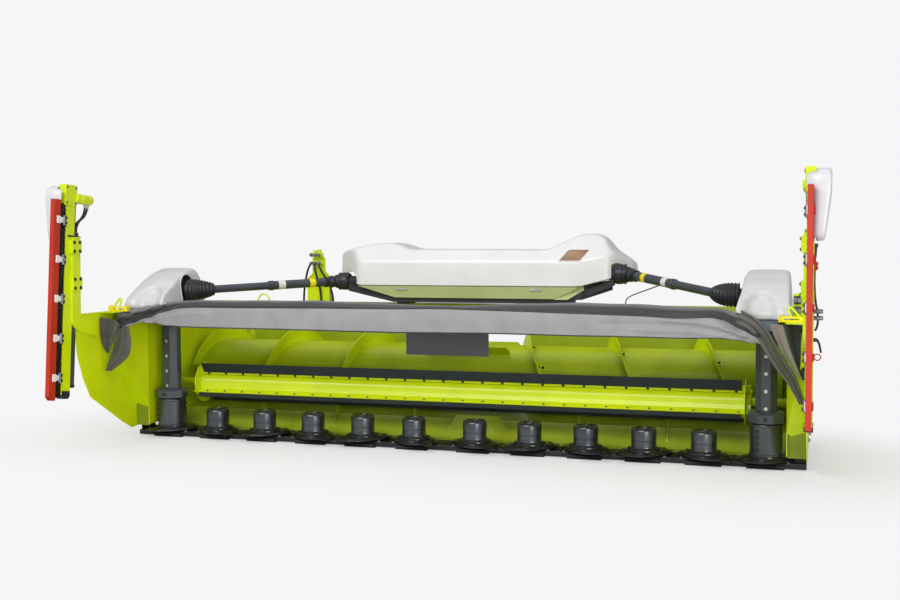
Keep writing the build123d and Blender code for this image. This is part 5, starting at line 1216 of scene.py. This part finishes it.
print("rotor and column bolts done")

# %% Hooks, loops and slotted bars
def rod_loop(points, radius, count=60):
    """A bent rod: an even, rounded line with rings of one radius round it, closed at both ends."""
    line = rounded(evenly(points, count), 0, 3, 3)
    return swept_closed(np.concatenate([line[:1], line, line[-1:]]), [0.0] + [radius] * count + [0.0], 12)


loop = [(2.530, -0.450, 1.064), (2.524, -0.450, 1.074), (2.478, -0.450, 1.128), (2.464, -0.450, 1.126),
        (2.470, -0.450, 1.090), (2.480, -0.450, 1.064)]
for side, name in SIDES:
    skin(f"cloth_hook_{name}", rod_loop(loop, 0.0080) * [side, 1, 1], "lime paint")
eye = [(x, 0.140, z) for x, z in ((-1.600, 1.028), (-1.600, 1.110), (-1.570, 1.146), (-1.530, 1.146),
                                  (-1.500, 1.110), (-1.500, 1.028))]
skin("beam_eye", rod_loop(eye, 0.0060), "lime paint")
yellow = boxes(((2.404, -0.478, 1.028), (2.416, -0.424, 1.072), 0.002),
               ((2.556, -0.478, 1.028), (2.566, -0.424, 1.072), 0.002))
placed("yellow_bar_ends", both(yellow), "yellow plastic")
slots = boxes(*[((x, 1.0925, 0.676), (x + 0.034, 1.1043, 0.690), 0.001) for x in np.arange(1.84, 2.17, 0.062)])
placed("wall_slots_right", slots, "white label")
# The wall's rungs are in the lighter lime: painted highlight.
rungs = facing(at([(x, 1.1035, z) for x in (-2.24, -2.165) for z in np.arange(0.640, 0.775, 0.022)]),
               (0, -1, 0), 0.5)
piece("wall_ladder", *copies(box_between((-0.030, -0.0045, 0.0), (0.030, 0.0045, 0.0016), 0.0004), rungs),
      "bright lime")
print("hooks and slots done")

# %% [markdown]
# ## Fittings of the right side
# Only the right knife carries its couplings in the open: a clamped cable comes out under the white
# cover, runs down the beam to two couplings, and beside them sit a handle and a red pull ring. Each
# is a lathe form or a bent rod, made by the same two functions as the shafts and the hooks.

# %% Cable, couplings, handle and ring of the right knife
cable = [(2.624, -0.932, 1.520), (2.624, -0.940, 1.420), (2.621, -0.952, 1.300), (2.628, -0.960, 1.190),
         (2.645, -0.968, 1.110), (2.642, -0.974, 1.040), (2.628, -0.978, 1.018)]
hose("knife_cable", at(cable), 0.0065)
boot = [(0.0, 0.0), (0.0, 0.017), (0.020, 0.016), (0.024, 0.012), (0.080, 0.0085), (0.080, 0.0)]
boot = turned(boot, (2.624, -0.932, 1.530), (0.0, -0.08, -1.0), 24)
skin("cable_boot", boot, "black guard")
placed("cable_clamp", box_between((2.6205, -0.972, 1.374), (2.640, -0.926, 1.424), 0.004), "red paint")
screws = bolted(0.0055, 0.005, [(2.640, -0.949, 1.386), (2.640, -0.949, 1.412)], (1, 0, 0))
placed("clamp_screws", screws, "bright zinc")
COUPLING = np.array([(0.0, 0.0), (0.0, 0.013), (0.014, 0.013), (0.015, 0.0165), (0.026, 0.0165), (0.027, 0.014),
                     (0.040, 0.0135), (0.052, 0.011), (0.052, 0.0)])
ends = lathes(COUPLING, [(2.6215, -0.972, 1.132), (2.6215, -0.990, 1.094)], (1, 0, 0), 28)
placed("knife_couplings", ends, "dull bolt")
grip = [(2.6150, -0.992, 0.965), (2.640, -0.992, 0.966), (2.652, -0.992, 0.945), (2.663, -0.992, 0.890)]
grip = rounded(evenly(grip, 40), 0, 3, 2)
grip = np.concatenate([grip[:1], grip, grip[-1:]])
thick = np.interp(np.linspace(0, 1, 40), [0, 0.18, 0.35, 1.0], [0.0125, 0.0115, 0.0070, 0.0058])
thick = np.concatenate([[0.0], thick, [0.0]])
skin("knife_handle", swept_closed(grip, thick, 20), "black guard", smooth=60.0)
RING_RADIUS, WIRE_RADIUS = 0.0185, 0.0034
a = np.linspace(0, 2 * math.pi, 61)[:-1, None]
b = np.linspace(0, 2 * math.pi, 17)[None, :-1]
out = RING_RADIUS + WIRE_RADIUS * np.cos(b)
ring = [2.643 + out * np.cos(a), -1.000 + WIRE_RADIUS * np.sin(b) + 0 * a, 0.864 + out * np.sin(a)]
surface("pull_ring", at(np.stack(ring, -1)), "red paint", round_rows=True, round_columns=True)
placed("pull_ring_lug", box_between((2.6155, -1.006, 0.853), (2.6285, -0.994, 0.875), 0.002), "red paint")
for number, (low, high) in enumerate(((0.62, 0.83), (0.12, 0.17)), 1):
    strip = box_between((0.0232, -0.020, low), (0.0252, 0.004, high), 0.0006)
    piece(f"beam_strip_{number}", *leaned_solid(strip, 1), "yellow plastic")
print("right knife fitted")

# %% Couplings beside the right end cover
plate = boxes(((2.488, -0.306, 1.0305), (2.556, -0.300, 1.205), 0.001),
              ((2.488, -0.340, 1.0305), (2.556, -0.300, 1.0360), 0.001))
placed("coupling_plate", plate, "lime paint")
blocks = boxes(((2.492, -0.350, 1.078), (2.538, -0.306, 1.120), 0.004),
               ((2.492, -0.350, 1.140), (2.538, -0.306, 1.190), 0.004))
placed("coupling_blocks", blocks, "dark casting")
SHORT_COUPLING = COUPLING * [0.8, 0.95]
ends = lathes(SHORT_COUPLING, [(x, -0.350, z) for z in (1.098, 1.165) for x in (2.504, 2.528)], (0, -1, 0), 28)
placed("coupling_ends", ends, "dull bolt")
print("couplings done")

# %% [markdown]
# ## Plates at the corners
# Under each end cover the deck has a folded grey front, and behind each end drum a heel plate
# closes the corner between the trough, the side panel and the bar; its lime is darkened as painted shade.

# %% Deck fronts, heel plates and duct tops
deck = boxes(((2.245, -0.3915, 0.966), (2.400, -0.3875, 1.0295), 0.001),
             ((2.396, -0.3875, 0.966), (2.400, -0.2000, 1.0295), 0.001))
placed("deck_fronts", both(deck), "deck paint")
# The heel plates' darkened lime paints the shade in the corner.
heel = boxes(((2.4560, -0.1000, 0.0900), (2.5775, -0.0960, 0.262), 0.0008),
             ((2.4560, 0.1460, 0.0900), (2.5775, 0.1500, 0.300), 0.0008))
placed("heel_plates", both(heel), "shaded paint")
top_duct = box_between((-0.0175, 0.048, 1.1805), (0.0175, 0.068, 1.4280), 0.003)
for side, name in SIDES:
    piece(f"duct_top_{name}", *leaned_solid(top_duct, side), "dark casting")
# A dark plate under the tray's right end paints the tray's dark lower edge and the shade beneath it.
shade_skirt = ((0.745, 0.893, 1.085), (0.860, 0.885, 1.085), (1.080, 1.038, 1.160), (1.080, 1.038, 1.243),
         (0.860, 0.885, 1.205))
placed("tray_shade_skirt", hull([(x, y + t, z) for t in (0.0, 0.003) for x, y, z in shade_skirt]), "dark casting")
# The tray's end is olive, painting the lime paint's reflection.
tray_end = ((0.635, 1.085), (0.870, 1.208), (0.880, 1.165), (0.745, 1.085))
placed("tray_end", hull([(x, 0.879 + t, z) for t in (0.0, 0.003) for x, z in tray_end]), "olive moulding")
link = [(1.180, 1.050, 1.036), (1.180, 1.020, 1.090), (1.250, 0.960, 1.125), (1.470, 0.820, 1.205)]
skin("guard_link", rod_loop(link, 0.0045, 40), "dark bolt")
latches = boxes(*[((x, 0.842, 1.176 - 0.026), (x + 0.105, 0.862, 1.176), 0.004) for x in (-0.700, 0.440)])
placed("lid_latches", latches, "bright zinc", body="lid_body")
print("corner plates done")

# %% Valve block over the hose plate
block = boxes(((-1.585, 1.082, 1.425), (-1.475, 1.127, 1.462), 0.004),
              ((-1.560, 1.088, 1.462), (-1.530, 1.120, 1.482), 0.003),
              ((-1.520, 1.088, 1.462), (-1.490, 1.120, 1.490), 0.003))
placed("valve_block", block, "lime paint")
hose_x = [x for x, _, _ in FRAME_HOSES]
ends = join(lathes(SHORT_COUPLING, [(x, 1.0825, 1.443) for x in hose_x], (0, -1, 0), 28),
            lathes(SHORT_COUPLING * [1.4, 0.9], [(x, 1.100, 1.370) for x in hose_x], (0, -1, 0), 28))
placed("valve_ends", ends, "dull bolt")
print("valve block done")

# %% [markdown]
# ## Bolts of the frame and the side plates
# Seen from behind and from the sides, the welded frame is held to the plates by rows of bolts with
# washers. Along the fold where each rotor wing leaves its tube, a strip of darkened lime paints the
# crease's shadow.

# %% Frame bolts and the wings' painted crease shadows
WASHERED_BOLT = [(0.0, 0.0), (0.0, 0.0175), (0.0025, 0.0175), (0.0025, 0.0110), (0.0105, 0.0100),
                 (0.0115, 0.0085), (0.0115, 0.0)]
rear = [(x, 1.2305, z) for x in (0.58, 0.66, 1.25, 1.33, 2.02, 2.10, 2.38) for z in (0.935, 0.995)]
rear += [(x, 1.2305, z) for x in (0.58, 1.25, 2.10, 2.38) for z in (0.135, 0.185)]
outer = [(2.5885, y, 0.985) for y in (-0.25, 0.05, 0.35, 0.65, 0.95)]
outer += [(2.5885, y, 0.145) for y in (0.35, 0.65, 0.95)]
outer += [(2.5885, 1.150, z) for z in (0.22, 0.46, 0.70, 0.90)]
hitch = [(0.4805, y, z) for y in (1.270, 1.330) for z in (0.28, 0.36, 0.62, 0.70)]
rows = join(*[lathes(WASHERED_BOLT, places, way, 24)
              for places, way in ((rear, (0, 1, 0)), (outer, (1, 0, 0)), (hitch, (1, 0, 0)))])
placed("frame_bolts", both(rows), "dull bolt")
ends = np.array([-2.195, 2.195])
# Thin dark strips along the wings' folds: the painted shadow of each crease.
crease_shadows = join(*[hull(at(np.concatenate([on_wing(ends, radius, height, turn)
                                         for radius in (0.0745, 0.0790) for height in (0.0055, 0.0075)])))
                 for turn in WING_TURNS])
piece("wing_crease_shadows", *crease_shadows, "shaded paint", body="paddle_body")
print("frame bolts", 2 * (len(rear) + len(outer) + len(hitch)))

# %% [markdown]
# ## Floor and light
# The photograph is a product picture on near-white. A wide floor keeps the soft shadow under the
# mower; to the camera it fades into the same near-white as the backdrop, while the lamps stay at a
# level where a colour renders about as it is written.

# %% Floor
BACKDROP = linear("#f6f6f6")
floor_mesh = bpy.data.meshes.new("floor")
floor_mesh.from_pydata([(-60, -60, 0), (60, -60, 0), (60, 60, 0), (-60, 60, 0)], [], [(0, 1, 2, 3)])
floor = bpy.data.objects.new("floor", floor_mesh)
bpy.context.scene.collection.objects.link(floor)
ground, tree, shader = new_material("studio floor")
feed(tree, shader, {"Base Color": BACKDROP, "Roughness": 0.8, "Specular IOR Level": 0.2})
plain = add_node(tree, "Emission", {"Color": BACKDROP})
rays = add_node(tree, "LightPath")
spot = add_node(tree, "TexCoord")
reach = add_node(tree, "Mapping", {"Scale": (0.30, 0.52, 1.0), "Vector": spot.outputs["Object"]})
away = add_node(tree, "VectorMath", {0: reach.outputs["Vector"]}, operation="LENGTH")
fade = add_node(tree, "MapRange", {"From Min": 0.75, "From Max": 1.35, "To Min": 0.5},
                interpolation_type="SMOOTHSTEP")
feed(tree, fade, {"Value": away.outputs["Value"]})
seen = add_node(tree, "Math", {0: fade.outputs["Result"], 1: rays.outputs["Is Camera Ray"]},
                operation="MULTIPLY")
blend = add_node(tree, "MixShader", {"Fac": seen.outputs["Value"], 1: shader.outputs["BSDF"],
                                     2: plain.outputs["Emission"]})
feed(tree, tree.nodes["Material Output"], {"Surface": blend.outputs["Shader"]})
floor_mesh.materials.append(ground)
print("floor laid")

# %% Lamps and world
def soft_lamp(name, place, target, width, height, power):
    """A large rectangular soft box that looks at its target."""
    data = bpy.data.lights.new(name, "AREA")
    data.shape, data.size, data.size_y, data.energy = "RECTANGLE", width, height, power
    lamp = bpy.data.objects.new(name, data)
    bpy.context.scene.collection.objects.link(lamp)
    lamp.location = place
    lamp.rotation_mode = "QUATERNION"
    lamp.rotation_quaternion = (Vector(target) - Vector(place)).to_track_quat("-Z", "Y")


soft_lamp("key_front_high", (-1.5, -7.6, 6.6), (0.0, 0.0, 0.8), 7.0, 3.0, 560.0)
soft_lamp("fill_front_right", (5.5, -6.5, 2.0), (0.5, 0.0, 0.6), 3.0, 2.0, 150.0)
soft_lamp("overhead", (0.0, 0.3, 6.5), (0.0, 0.3, 0.0), 9.0, 5.0, 75.0)
world = bpy.data.worlds.new("studio")
bpy.context.scene.world = world
world.use_nodes = True
tree = world.node_tree
ambient = tree.nodes["Background"]
feed(tree, ambient, {"Color": (1.0, 1.0, 1.0, 1.0), "Strength": 0.40})
backdrop = add_node(tree, "Background", {"Color": BACKDROP})
rays = add_node(tree, "LightPath")
either = add_node(tree, "Math", {0: rays.outputs["Is Camera Ray"], 1: rays.outputs["Is Transmission Ray"]},
                  operation="MAXIMUM")
blend = add_node(tree, "MixShader", {"Fac": either.outputs["Value"], 1: ambient.outputs["Background"],
                                     2: backdrop.outputs["Background"]})
feed(tree, tree.nodes["World Output"], {"Surface": blend.outputs["Shader"]})
bpy.context.scene.view_settings.view_transform = "Standard"
print("lamps and world set")
